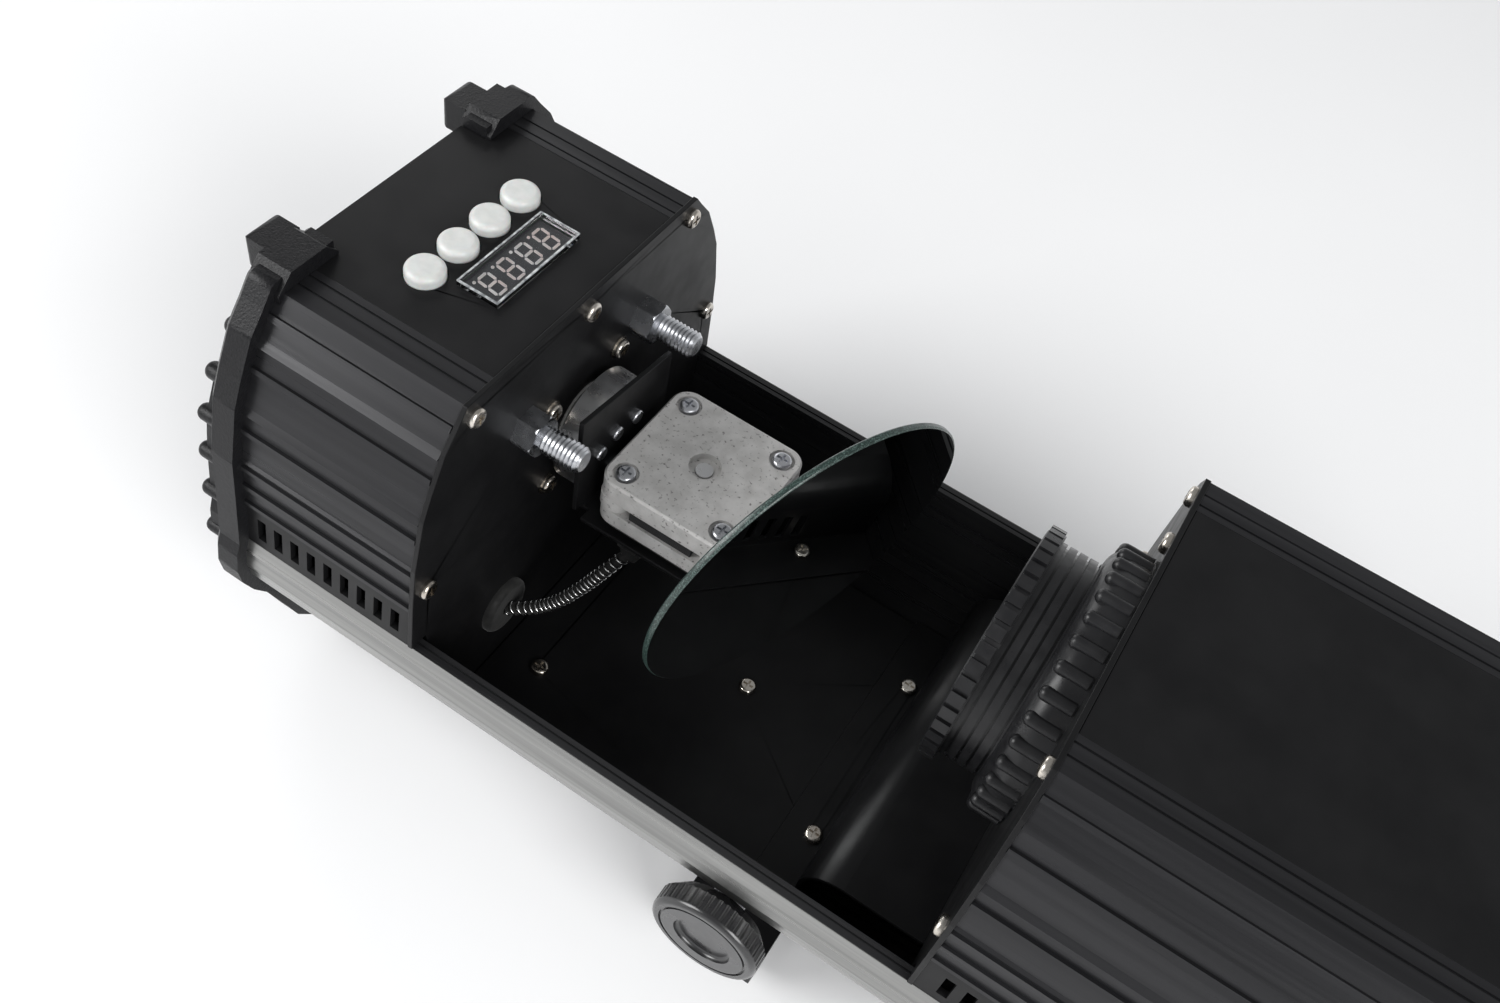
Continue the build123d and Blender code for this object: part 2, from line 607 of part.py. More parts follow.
def motor_screws():
    screws = []
    for y, z in motor_corners(0.0, PAN_Z):
        washer = rod_x(HEAD_X, HEAD_X + 0.6, 3.6, y, z) - rod_x(HEAD_X - 1, HEAD_X + 1, SCREW_R, y, z)
        screws.append(washer + pan_screw_x(HEAD_X + 0.6, y, z, 6.0))
    return screws


def stop_stud(y):
    stud = rod_x(HEAD_X - 9, STUD_TIP_X, STUD_CORE_R, y, STUD_Z)
    stud = chamfer(stud.edges().group_by(Axis.X)[-1], 0.5)
    turns = int((STUD_TIP_X - HEAD_X - 7.6) / STUD_PITCH)
    for index in range(turns):
        x = HEAD_X + 7.4 + index * STUD_PITCH
        ridge = Cone(STUD_CORE_R, STUD_R, STUD_PITCH / 2)
        ridge += Pos(0, 0, STUD_PITCH / 2) * Cone(STUD_R, STUD_CORE_R, STUD_PITCH / 2)
        stud += Pos(x, y, STUD_Z) * Rot(0, 90, 0) * ridge
    return stud


def stop_nuts(y):
    """Hexagon nut in front of the bulkhead and round weld nut behind it."""
    nut = hexagon_x(HEAD_X, HEAD_X + NUT_LENGTH, 11.0, y, STUD_Z)
    nut &= fillet(rod_x(HEAD_X, HEAD_X + NUT_LENGTH, 6.2, y, STUD_Z).edges().group_by(Axis.X)[-1], 0.9)
    back = rod_x(HEAD_X - SHEET - 5, HEAD_X - SHEET, 4.9, y, STUD_Z)
    core = rod_x(HEAD_X - 9, HEAD_X + NUT_LENGTH + 1, STUD_CORE_R, y, STUD_Z)
    return [nut - core, back - core]


# ---- pan body -----------------------------------------------------------------------------
def pan_hub():
    hub = rod_x(HUB_X0, FLANGE_X0, HUB_R, 0, PAN_Z)
    hub = chamfer(hub.edges().group_by(Axis.X)[-1], 0.6)
    return hub + rod_x(HEAD_X - 22, HUB_X0, 2.5, 0, PAN_Z)


def pan_bracket():
    """Bent sheet: upright flange on the hub, shelf under the tilt motor."""
    shelf_z = PLATE_TOP_Z - SHEET
    flange = prism_x([(-BRACKET_HALF, shelf_z), (-BRACKET_HALF, 129.0), (BRACKET_HALF, 121.5),
                      (BRACKET_HALF, shelf_z)], FLANGE_X0, FLANGE_X0 + SHEET)
    shelf = block(FLANGE_X0, FLANGE_X0 + BRACKET_LENGTH, -BRACKET_HALF, BRACKET_HALF, shelf_z, PLATE_TOP_Z)
    bracket = flange + shelf
    for side in (-1, 1):
        bracket -= block(FLANGE_X0 - 1, FLANGE_X0 + 3.2, side * 19.6 - 2.2, side * 19.6 + 2.2,
                         shelf_z - 1, PLATE_TOP_Z + 1.6)
    for y, z in HUB_SCREWS:
        bracket -= rod_x(FLANGE_X0 - 1, FLANGE_X0 + 3, SCREW_R - 0.4, y, z)
    bracket -= rod_z(shelf_z - 1, PLATE_TOP_Z + 1, 11.2, TILT_X, TILT_Y)
    for x, y in motor_corners(TILT_X, TILT_Y):
        bracket -= rod_z(shelf_z - 1, PLATE_TOP_Z + 1, SCREW_R + 0.1, x, y)
    return bracket


def hub_screws():
    screws = []
    for y, z in HUB_SCREWS:
        head = rod_x(FLANGE_X0 + SHEET, FLANGE_X0 + SHEET + 1.4, 2.2, y, z)
        head = fillet(head.edges().group_by(Axis.X)[-1], 0.8)
        screws.append(head + rod_x(FLANGE_X0, FLANGE_X0 + SHEET, SCREW_R - 0.4, y, z))
    return screws


def motor_cap(z0, height, lugs_up):
    """Cast end cap of the tilt motor, with a lug at each corner that meets the other cap's."""
    half = MOTOR_SIDE / 2
    cap = block(TILT_X - half, TILT_X + half, TILT_Y - half, TILT_Y + half, z0, z0 + height)
    cap = fillet(cap.edges().filter_by(Axis.Z), 5.5)
    for x, y in motor_corners(TILT_X, TILT_Y):
        sx = 1 if x > TILT_X else -1
        sy = 1 if y > TILT_Y else -1
        lug_z0 = z0 + height if lugs_up else z0 - STATOR_H / 2
        lug = block(-4.6, 4.6, -4.6, 4.6, lug_z0, lug_z0 + STATOR_H / 2)
        lug = Pos(TILT_X + sx * (half - 4.7), TILT_Y + sy * (half - 4.7), 0) * lug
        corner = fillet(lug.edges().filter_by(Axis.Z), 4.2)
        cap += corner
        cap -= rod_z(z0 - 3, z0 + height + 3, SCREW_R, x, y)
    return cap


def tilt_rear_cap():
    z0 = TILT_TOP_Z - REAR_CAP_H
    cap = motor_cap(z0, REAR_CAP_H, False)
    cap = chamfer(cap.edges().group_by(Axis.Z)[-1], 0.6)
    for x, y in motor_corners(TILT_X, TILT_Y):
        cap -= rod_z(TILT_TOP_Z - 1.2, TILT_TOP_Z + 1, 3.7, x, y)
    cap -= rod_z(TILT_TOP_Z - 2.2, TILT_TOP_Z + 1, 4.6, TILT_X, TILT_Y)
    return cap - rod_z(z0 - 3, TILT_TOP_Z + 1, 2.6, TILT_X, TILT_Y)


def tilt_stator():
    """Stack of steel laminations between the two caps, clear of their corner lugs."""
    half = MOTOR_SIDE / 2 - 0.8
    z0 = PLATE_TOP_Z + GASKET_H + FRONT_CAP_H
    stack = block(TILT_X - half, TILT_X + half, TILT_Y - half, TILT_Y + half, z0, z0 + STATOR_H)
    for x, y in motor_corners(TILT_X, TILT_Y):
        sx = 1 if x > TILT_X else -1
        sy = 1 if y > TILT_Y else -1
        x1 = TILT_X + sx * (half + 1)
        y1 = TILT_Y + sy * (half + 1)
        stack -= block(min(x1, x1 - sx * 11.4), max(x1, x1 - sx * 11.4),
                       min(y1, y1 - sy * 11.4), max(y1, y1 - sy * 11.4), z0 - 1, z0 + STATOR_H + 1)
    return stack - rod_z(z0 - 1, z0 + STATOR_H + 1, 3.0, TILT_X, TILT_Y)


def tilt_front_cap():
    z0 = PLATE_TOP_Z + GASKET_H
    cap = motor_cap(z0, FRONT_CAP_H, True)
    cap += rod_z(z0 - GASKET_H - 1.4, z0, 11.0, TILT_X, TILT_Y)
    cap -= rod_z(z0 - GASKET_H - 3, z0 + FRONT_CAP_H + 1, 2.6, TILT_X, TILT_Y)
    return cap


def motor_gasket():
    half = MOTOR_SIDE / 2 - 1.2
    pad = block(TILT_X - half, TILT_X + half, TILT_Y - half, TILT_Y + half,
                PLATE_TOP_Z, PLATE_TOP_Z + GASKET_H)
    pad = fillet(pad.edges().filter_by(Axis.Z), 5.0)
    pad -= rod_z(PLATE_TOP_Z - 1, PLATE_TOP_Z + 5, 11.2, TILT_X, TILT_Y)
    for x, y in motor_corners(TILT_X, TILT_Y):
        pad -= rod_z(PLATE_TOP_Z - 1, PLATE_TOP_Z + 5, SCREW_R + 0.1, x, y)
    return pad


def tilt_motor_screws():
    head_z = TILT_TOP_Z - 1.2
    length = head_z - PLATE_TOP_Z + SHEET + 1.0
    return [pan_screw_z(x, y, head_z, length) for x, y in motor_corners(TILT_X, TILT_Y)]


# ---- tilt body ----------------------------------------------------------------------------
def mirror_plane():
    yaw = math.radians(MIRROR_YAW)
    lean = math.radians(MIRROR_LEAN)
    normal = Vector(math.cos(yaw) * math.cos(lean), math.sin(yaw) * math.cos(lean), -math.sin(lean))
    across = Vector(-math.sin(yaw), math.cos(yaw), 0)
    return Plane(origin=MIRROR_FACE, x_dir=across, z_dir=normal)


def mirror_disc():
    disc = Pos(0, 0, -MIRROR_T / 2) * Cylinder(MIRROR_R, MIRROR_T)
    disc = chamfer(disc.edges(), 0.4)
    return mirror_plane() * disc


def tilt_shaft():
    """Motor shaft with the hub that the mirror arm is clamped to."""
    hub = rod_z(ARM_Z - 8.0, ARM_Z, 8.0, TILT_X, TILT_Y)
    hub = chamfer(hub.edges().group_by(Axis.Z)[0], 0.6)
    return hub + rod_z(ARM_Z - 9.0, TILT_TOP_Z - 1.6, 2.5, TILT_X, TILT_Y)


def mirror_arm():
    """Sheet foot on the tilt shaft, bent up behind the glass."""
    plane = mirror_plane()
    plate = Pos(0, -12.0, -MIRROR_T - ARM_T / 2) * Box(30.0, 42.0, ARM_T)
    upright = plane * plate
    top_z = ARM_Z + 22.0
    upright &= block(TILT_X, TILT_X + 90, -60, 60, ARM_Z, top_z)
    yaw = math.radians(MIRROR_YAW)
    reach = (upright.center() - Vector(TILT_X, TILT_Y, 0)).dot(Vector(math.cos(yaw), math.sin(yaw), 0))
    foot = Pos(reach / 2 - 4.5, 0, 0) * Box(reach + 9.0, 20.0, ARM_T)
    foot = Pos(TILT_X, TILT_Y, ARM_Z + ARM_T / 2) * Rot(0, 0, MIRROR_YAW) * foot
    gusset_face = plane * (Pos(0, 0, -MIRROR_T - 20.0) * Box(200.0, 200.0, 40.0))
    foot &= gusset_face
    arm = upright + foot
    return arm - rod_z(ARM_Z - 1, ARM_Z + 4, 2.5, TILT_X, TILT_Y)


# ---- motor cable --------------------------------------------------------------------------
def arc_radii(points):
    """Radius of each corner's arc: 0.45 of the shorter run over the tangent of half the turn."""
    radii = []
    for before, corner, after in zip(points, points[1:], points[2:]):
        first = Vector(*corner) - Vector(*before)
        second = Vector(*after) - Vector(*corner)
        turn = math.radians(first.get_angle(second))
        radii.append(0.45 * min(first.length, second.length) / math.tan(turn / 2))
    return radii


def motor_cable():
    radii = arc_radii(CABLE_ROUTE)
    print("motor cable corner radii", [round(radius, 1) for radius in radii])
    path = FilletPolyline(*CABLE_ROUTE, radius=radii)
    profile = Plane(origin=path @ 0, z_dir=path % 0) * Circle(CABLE_D / 2)
    tube = sweep(profile, path)
    print("motor cable volume", round(tube.volume, 1), "against",
          round(math.pi * CABLE_D ** 2 / 4 * path.length, 1), "length", round(path.length, 1))
    return tube


def cable_boot():
    """Moulded boot under the shelf where the cable reaches the tilt motor's leads."""
    end = Vector(*CABLE_ROUTE[-1])
    way = (end - Vector(*CABLE_ROUTE[-2])).normalized()
    boot = Plane(origin=end, z_dir=way) * (Pos(0, 0, 3.0) * Cylinder(3.2, 6.0))
    stem = block(end.X - 3.0, end.X + 3.0, end.Y - 1.4, end.Y + 4.6, end.Z + 3.0, PLATE_TOP_Z - SHEET)
    return boot + stem


# ---- lens ---------------------------------------------------------------------------------
def focus_ring():
    """Toothed rim of the focusing barrel."""
    ring = rod_x(RING_X0, RING_X1, RING_R - 1.0, 0, LENS_Z)
    ring = chamfer(ring.edges().group_by(Axis.X)[0], 0.8)
    teeth = 44
    span = RING_X1 - RING_X0 - 0.8
    for index in range(teeth):
        tooth = block(-span / 2, span / 2, -1.75, 1.75, RING_R - 2.0, RING_R)
        turned = Rot(index * 360 / teeth, 0, 0) * tooth
        ring += Pos((RING_X0 + RING_X1) / 2, 0, LENS_Z) * turned
    return ring - rod_x(RING_X0 - 1, RING_X1 + 1, LENS_R + 2.22, 0, LENS_Z)


def lens_barrel():
    """Stepped, grooved barrel that turns in the collar, with a seat for the front lens."""
    x1 = LAMP_X + 6.0
    barrel = rod_x(RING_X1, x1, BARREL_R, 0, LENS_Z)
    for index in range(5):
        x = RING_X1 + 1.4 + index * 2.9
        groove = rod_x(x, x + 0.7, BARREL_R + 1, 0, LENS_Z) - rod_x(x, x + 0.7, BARREL_R - 1.1, 0, LENS_Z)
        barrel -= groove
    barrel -= rod_x(RING_X1 - 1, x1 + 1, LENS_R + 2.2, 0, LENS_Z)
    barrel += rod_x(RING_X0 + 0.6, LAMP_X + 3.0, LENS_R + 2.2, 0, LENS_Z)
    barrel -= rod_x(RING_X0, LAMP_X + 4.0, LENS_R - 1.5, 0, LENS_Z)
    return barrel - rod_x(LENS_MID_X - 1.8, LENS_MID_X + 1.8, LENS_R + 0.05, 0, LENS_Z)


def front_lens():
    """Biconvex front lens with a ground edge."""
    body = rod_x(LENS_MID_X - LENS_HALF, LENS_MID_X + LENS_HALF, LENS_R, 0, LENS_Z)
    for side in (-1, 1):
        middle_x = LENS_MID_X + side * (LENS_HALF - LENS_SPHERE_R)
        body = body & (Pos(middle_x, 0, LENS_Z) * Sphere(LENS_SPHERE_R))
    return body


def lens_carrier():
    """Sliding sleeve inside the barrel that carries the rear lens."""
    outer = rod_x(LAMP_X + 3.2, LAMP_X + 13.0, LENS_R + 1.9, 0, LENS_Z)
    return outer - rod_x(LAMP_X + 3, LAMP_X + 14, LENS_R - 2.0, 0, LENS_Z)


def lens_collar():
    """Ribbed, rounded ring on the lamp bulkhead that the barrel turns in."""
    x1 = LAMP_X - SHEET
    collar = rod_x(COLLAR_X0, x1, COLLAR_R - 1.2, 0, LENS_Z)
    collar = fillet(collar.edges().group_by(Axis.X)[0], 6.0)
    ribs = 34
    for index in range(ribs):
        rib = rod_x(COLLAR_X0 + 1.2, x1 - 0.6, 1.9, 0, COLLAR_R - 1.9)
        rib = fillet(rib.edges().group_by(Axis.X)[0], 1.7)
        collar += Pos(0, 0, LENS_Z) * Rot(index * 360 / ribs, 0, 0) * rib
    return collar - rod_x(COLLAR_X0 - 1, x1 + 1, BARREL_R + 0.08, 0, LENS_Z)


# ---- inside the lamp house ----------------------------------------------------------------
def optics_chassis():
    """Bent sheet that carries the wheel motor, the condenser and the lamp."""
    half = 30.0
    foot_z = TRAY_FLOOR_Z
    plate = block(WHEEL_X + 6, WHEEL_X + 6 + SHEET, -half, half, foot_z, LENS_Z + 26)
    plate += block(WHEEL_X + 6, OPTICS_X1, -half, half, foot_z, foot_z + SHEET)
    plate += block(OPTICS_X1 - SHEET, OPTICS_X1, -half, half, foot_z, LENS_Z + 26)
    plate -= rod_x(WHEEL_X, WHEEL_X + 20, 14.0, 0, LENS_Z)
    plate -= rod_x(WHEEL_X, WHEEL_X + 20, 8.0, 0, WHEEL_Z)
    return plate + condenser_holder()


def wheel_motor():
    body = rod_x(WHEEL_X + 6 + SHEET, WHEEL_X + 26, 17.5, 0, WHEEL_Z)
    body += rod_x(WHEEL_X + 6, WHEEL_X + 6 + SHEET, 7.8, 0, WHEEL_Z)
    return body - rod_x(WHEEL_X, WHEEL_X + 18, 2.05, 0, WHEEL_Z)


def filter_places():
    places = []
    for index in range(8):
        angle = math.radians(90 + index * 45)
        radius = LENS_Z - WHEEL_Z
        places.append((radius * math.cos(angle), WHEEL_Z + radius * math.sin(angle)))
    return places


def colour_wheel():
    wheel = rod_x(WHEEL_X, WHEEL_X + 1.5, WHEEL_R, 0, WHEEL_Z)
    for y, z in filter_places():
        wheel -= rod_x(WHEEL_X - 1, WHEEL_X + 3, FILTER_R, y, z)
    wheel += rod_x(WHEEL_X + 1.5, WHEEL_X + 5.4, 6.0, 0, WHEEL_Z)
    return wheel + rod_x(WHEEL_X + 5.4, WHEEL_X + 16, 2.0, 0, WHEEL_Z)


def colour_filter(y, z):
    return rod_x(WHEEL_X, WHEEL_X + 1.2, FILTER_R - 0.02, y, z)


def condenser_holder():
    x = CONDENSER_X
    holder = block(x, x + 8, -20, 20, TRAY_FLOOR_Z + SHEET, LENS_Z + 20)
    holder -= rod_x(x + 1.6, x + 9, CONDENSER_R + 0.1, 0, LENS_Z)
    return holder - rod_x(x - 1, x + 9, CONDENSER_R - 2, 0, LENS_Z)


def condenser_lens():
    """Plano-convex lens, flat side on the holder's lip."""
    x = CONDENSER_X + 1.7
    rise = CONDENSER_SPHERE_R - math.sqrt(CONDENSER_SPHERE_R ** 2 - CONDENSER_R ** 2)
    rim = (x + 2.0, CONDENSER_R)
    middle_r = CONDENSER_R / 2
    drop = CONDENSER_SPHERE_R - math.sqrt(CONDENSER_SPHERE_R ** 2 - middle_r ** 2)
    crown = ThreePointArc(rim, (rim[0] + rise - drop, middle_r), (rim[0] + rise, 0))
    flat = Polyline((rim[0] + rise, 0), (x, 0), (x, CONDENSER_R), rim)
    face = Plane.XZ * make_face([crown, flat])
    return Pos(0, 0, LENS_Z) * revolve(face, Axis.X)


def lamp_board():
    x1 = OPTICS_X1 - SHEET
    board = block(x1 - 1.6, x1, -20, 20, LENS_Z - 20, LENS_Z + 20)
    return board + block(x1 - 3.4, x1 - 1.6, -6, 6, LENS_Z - 6, LENS_Z + 6)


def heat_sink():
    x0 = OPTICS_X1
    sink = block(x0, x0 + 5, -30, 30, LENS_Z - 30, LENS_Z + 26)
    for index in range(11):
        y = -29 + index * 5.6
        sink += block(x0 + 5, x0 + 32, y, y + 2, LENS_Z - 30, LENS_Z + 26)
    return sink


def power_supply():
    """Open-frame supply on the tray floor, lying beside the optics towards the rear."""
    x0 = LAMP_X + 124.0
    x1 = LAMP_BACK_X - 4
    case = block(x0, x1, -40, 40, TRAY_FLOOR_Z, 34.0)
    return chamfer(case.edges().group_by(Axis.Z)[-1], 1.0)


# ---- mounting bracket ---------------------------------------------------------------------
def yoke():
    """Low U-shaped strap: tapered arms on the pivots, cross piece under the tray."""
    outside = YOKE_FACE_Y
    inside = outside - YOKE_T
    corner = 7.0
    half_width = YOKE_WIDTH / 2
    shoulder_z = PIVOT_Z - 12.0
    half = [(0, YOKE_LOW_Z), (outside - corner, YOKE_LOW_Z), (outside, YOKE_LOW_Z + corner),
            (outside, shoulder_z), (inside, shoulder_z), (inside, YOKE_LOW_Z + corner + 1),
            (inside - corner + 1.5, YOKE_LOW_Z + YOKE_T), (0, YOKE_LOW_Z + YOKE_T)]
    strap = prism_x(half, PIVOT_X - half_width, PIVOT_X + half_width)
    strap += mirror(strap, Plane.XZ)
    ear = prism_y([(PIVOT_X - half_width, shoulder_z), (PIVOT_X + half_width, shoulder_z),
                   (PIVOT_X + EAR_R, PIVOT_Z), (PIVOT_X - EAR_R, PIVOT_Z)], inside, outside)
    ear += rod_y(inside, outside, EAR_R, PIVOT_X, PIVOT_Z)
    strap += ear + mirror(ear, Plane.XZ)
    strap -= rod_y(-90, 90, PIVOT_R + 0.05, PIVOT_X, PIVOT_Z)
    return strap - rod_z(-1, 8, YOKE_HOLE_R, PIVOT_X, 0)


def pivot_stud(side):
    """Stud pressed into the tray's wall, with a shoulder that the bracket's arm bears on."""
    stud = rod_y(STUD_ROOT_Y, STUD_END_Y, PIVOT_R, PIVOT_X, PIVOT_Z)
    bush = rod_y(60.0, YOKE_FACE_Y - YOKE_T - GAP, 5.0, PIVOT_X, PIVOT_Z)
    bush -= section_slab(0.0, PIVOT_X - 20, PIVOT_X + 20)
    stud += bush
    return stud if side > 0 else mirror(stud, Plane.XZ)


def knob(side):
    """Fluted hand knob with a stepped rim and a dished centre."""
    back = YOKE_FACE_Y + GAP
    body = rod_y(back, KNOB_FACE_Y, KNOB_R, PIVOT_X, PIVOT_Z)
    body = chamfer(body.edges().group_by(Axis.Y)[0], 3.4)
    body = fillet(body.edges().group_by(Axis.Y)[-1], 1.6)
    flutes = 44
    for index in range(flutes):
        angle = 2 * math.pi * index / flutes
        x = PIVOT_X + (KNOB_R + 0.25) * math.cos(angle)
        z = PIVOT_Z + (KNOB_R + 0.25) * math.sin(angle)
        body -= rod_y(back - 1, KNOB_FACE_Y - 1.4, 0.75, x, z)
    rim = rod_y(KNOB_FACE_Y - 0.7, KNOB_FACE_Y + 1, KNOB_R - 2.6, PIVOT_X, PIVOT_Z)
    body -= rim - rod_y(KNOB_FACE_Y - 2, KNOB_FACE_Y + 2, KNOB_R - 3.3, PIVOT_X, PIVOT_Z)
    dish_r, depth = KNOB_DISH
    dish = rod_y(KNOB_FACE_Y - depth, KNOB_FACE_Y + 1, dish_r, PIVOT_X, PIVOT_Z)
    body -= fillet(dish.edges().group_by(Axis.Y)[0], depth * 0.8)
    body -= rod_y(back - 1, STUD_END_Y + 0.3, PIVOT_R + 0.05, PIVOT_X, PIVOT_Z)
    return body if side > 0 else mirror(body, Plane.XZ)


# ---- all parts ----------------------------------------------------------------------------
def lamp_screw(y, z):
    """Screw on the front of the lamp bulkhead, its head towards -X."""
    return Pos(LAMP_X - SHEET, y, z) * Rot(0, 180, 0) * pan_screw_x(0, 0, 0, 6.0)


def housing_screws():
    screws = [pan_screw_x(HEAD_X, y, z, 6.0) for y, z in HEAD_SCREWS]
    screws += [lamp_screw(y, z) for y, z in LAMP_SCREWS]
    screws += [pan_screw_z(HEAD_X + dx, y, FLOOR_Z, 6.0) for dx, y in FLOOR_SCREWS]
    screws += [pan_screw_z(HEAD_X + dx, y, FLOOR_Z + STEP_SHEET, 6.0) for dx, y in STEP_SCREWS]
    return screws + motor_screws()


def write_housing():
    write("base_tray", base_tray())
    write("floor_plate", floor_plate())
    write("step_cover", step_cover())
    write("rubber_feet", *[rubber_foot(x, y) for x, y in foot_places()])
    for name, side in (("right", -1), ("left", 1)):
        write(f"head_side_{name}", side_shell(side, HEAD_BACK_X, HEAD_X - SHEET))
        write(f"lamp_side_{name}", side_shell(side, LAMP_X, LAMP_BACK_X))
    grilles = [vent_grille(side, HEAD_BACK_X, HEAD_X - SHEET) for side in (-1, 1)]
    grilles += [vent_grille(side, LAMP_X, LAMP_BACK_X) for side in (-1, 1)]
    write("vent_grilles", *grilles)
    write("head_top_panel", head_top_panel())
    write("lamp_top_panel", lamp_top_panel())
    write("head_bulkhead", head_bulkhead())
    write("lamp_bulkhead", lamp_bulkhead())
    write("head_end_cap", head_end_cap())
    write("lamp_end_cap", lamp_end_cap())
    write("pivot_studs", pivot_stud(-1), pivot_stud(1))
    write("housing_screws", *housing_screws())


def write_head():
    studs = [stop_stud(y) for y in (-STUD_Y, STUD_Y)]
    write("stop_studs", *(studs + stop_nuts(-STUD_Y) + stop_nuts(STUD_Y)))
    write("cable_grommet", cable_grommet())
    write("pan_motor", pan_motor())
    write("control_board", control_board())
    write("display_window", display_window())
    write("display_module", display_module())
    for index, y in enumerate(BUTTON_Y):
        write(f"button_{index + 1}", button(y))


def write_mirror_train():
    write("pan_hub", pan_hub())
    write("pan_bracket", pan_bracket())
    write("pan_screws", *(hub_screws() + tilt_motor_screws()))
    write("tilt_motor_rear_cap", tilt_rear_cap())
    write("tilt_motor_stator", tilt_stator())
    write("tilt_motor_front_cap", tilt_front_cap())
    write("tilt_motor_gasket", motor_gasket())
    write("cable_boot", cable_boot())
    write("tilt_shaft", tilt_shaft())
    write("mirror_arm", mirror_arm())
    write("mirror_glass", mirror_disc())
    write("motor_cable", motor_cable())


def write_lamp_house():
    write("focus_ring", focus_ring())
    write("lens_barrel", lens_barrel())
    write("front_lens", front_lens())
    write("lens_carrier", lens_carrier())
    write("lens_collar", lens_collar())
    write("optics_chassis", optics_chassis())
    write("wheel_motor", wheel_motor())
    write("colour_wheel", colour_wheel())
    write("colour_filters", *[colour_filter(y, z) for y, z in filter_places()])
    write("condenser_lens", condenser_lens())
    write("lamp_board", lamp_board())
    write("heat_sink", heat_sink())
    write("power_supply", power_supply())


def write_rear():
    write("fan_frame", fan_frame())
    write("fan_rotor", fan_rotor())
    write("dmx_sockets", *[dmx_socket(y) for y in DMX_Y])
    write("power_entry", mains_inlet(), switch_frame())
    write("switch_rocker", switch_rocker())


def write_mounting():
    write("yoke", yoke())
    write("knob_right", knob(-1))
    write("knob_left", knob(1))


os.makedirs("parts", exist_ok=True)
write_housing()
write_head()
write_mirror_train()
write_lamp_house()
write_rear()
write_mounting()
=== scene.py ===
import math

import bpy
from mathutils import Matrix, Vector


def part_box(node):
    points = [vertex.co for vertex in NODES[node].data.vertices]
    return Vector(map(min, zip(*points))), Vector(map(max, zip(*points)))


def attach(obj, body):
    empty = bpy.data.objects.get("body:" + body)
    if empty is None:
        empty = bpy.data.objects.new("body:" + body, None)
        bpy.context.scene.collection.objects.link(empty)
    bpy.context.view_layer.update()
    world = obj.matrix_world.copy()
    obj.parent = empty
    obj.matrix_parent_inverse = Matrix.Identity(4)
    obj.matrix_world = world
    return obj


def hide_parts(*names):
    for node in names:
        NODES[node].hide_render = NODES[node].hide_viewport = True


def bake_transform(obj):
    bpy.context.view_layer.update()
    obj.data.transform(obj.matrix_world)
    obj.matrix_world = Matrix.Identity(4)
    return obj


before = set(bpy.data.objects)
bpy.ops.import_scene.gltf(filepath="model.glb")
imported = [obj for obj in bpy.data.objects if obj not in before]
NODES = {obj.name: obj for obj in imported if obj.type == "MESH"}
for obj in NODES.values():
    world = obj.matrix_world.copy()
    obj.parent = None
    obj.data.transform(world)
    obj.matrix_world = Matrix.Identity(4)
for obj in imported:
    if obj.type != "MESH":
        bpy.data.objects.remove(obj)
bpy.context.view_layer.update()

# ---- camera -------------------------------------------------------------------------------
CAMERA_PLACE = Vector((-0.003021, -0.212598, 0.397390))
CAMERA_RIGHT = Vector((0.83722, 0.52331, 0.15873))
CAMERA_UP = Vector((-0.50360, 0.62450, 0.59700))
CAMERA_LENS = 32.6
SENSOR_WIDTH = 36.0

# ---- light --------------------------------------------------------------------------------
WALL_LIGHT = 0.85
CEILING_LIGHT = 0.32
KEY_POWER = 35.0
FILL_POWER = 34.0
BACK_POWER = 7.0

FLOOR_HALF = 4.0
LIGHT_COLOUR = (0.97, 0.985, 1.0, 1.0)

# ---- motor cable --------------------------------------------------------------------------
CABLE_ROUTE = [
    (-0.1344, -0.0345, 0.0470), (-0.1266, -0.0329, 0.0520), (-0.1203, -0.0295, 0.0576),
    (-0.1146, -0.0248, 0.0658), (-0.1106, -0.0210, 0.0734), (-0.1070, -0.0162, 0.0794),
]
CORE_R = 0.0017
SPRING_R = 0.0020
SPRING_WIRE_R = 0.00034
SPRING_TURNS = 25
SPRING_STEPS = 14            # points in each turn
CORE_SIDES = 16
WIRE_SIDES = 8
ROUTE_STEPS = 24

# ---- display ------------------------------------------------------------------------------
DIGIT_COUNT = 4
DIGIT_PITCH = 0.0074
DIGIT_TALL = 0.0074
DIGIT_WIDE = 0.0038
DIGIT_SLANT = 0.12
DIGIT_PROUD = 0.00014
BAR_HALF = 0.00042
BAR_GAP = 0.00022
POINT_R = 0.0005
POINT_AWAY = 0.0012
POINT_SIDES = 12
EDGE_PROUD = 0.00003
EDGE_WIDE = 0.00045
EDGE_DEEP = 0.0004

# ---- fine rounds on the CAD nodes ---------------------------------------------------------
ROUND_ANGLE = math.radians(35)
WELD_DISTANCE = 0.000002
ROUNDS = {
    0.00025: ("head_bulkhead", "lamp_bulkhead", "floor_plate", "head_top_panel", "lamp_top_panel",
              "pan_bracket", "yoke", "step_cover", "display_window"),
    0.0003: ("mirror_glass",),
    0.0005: ("head_end_cap", "lamp_end_cap"),
}
RAIL_DEEP = 0.0027           # how far in from the tray's widest line its bright flank reaches


# ---- mesh helpers -------------------------------------------------------------------------
def link(name, data):
    piece = bpy.data.objects.new(name, data)
    bpy.context.scene.collection.objects.link(piece)
    return piece


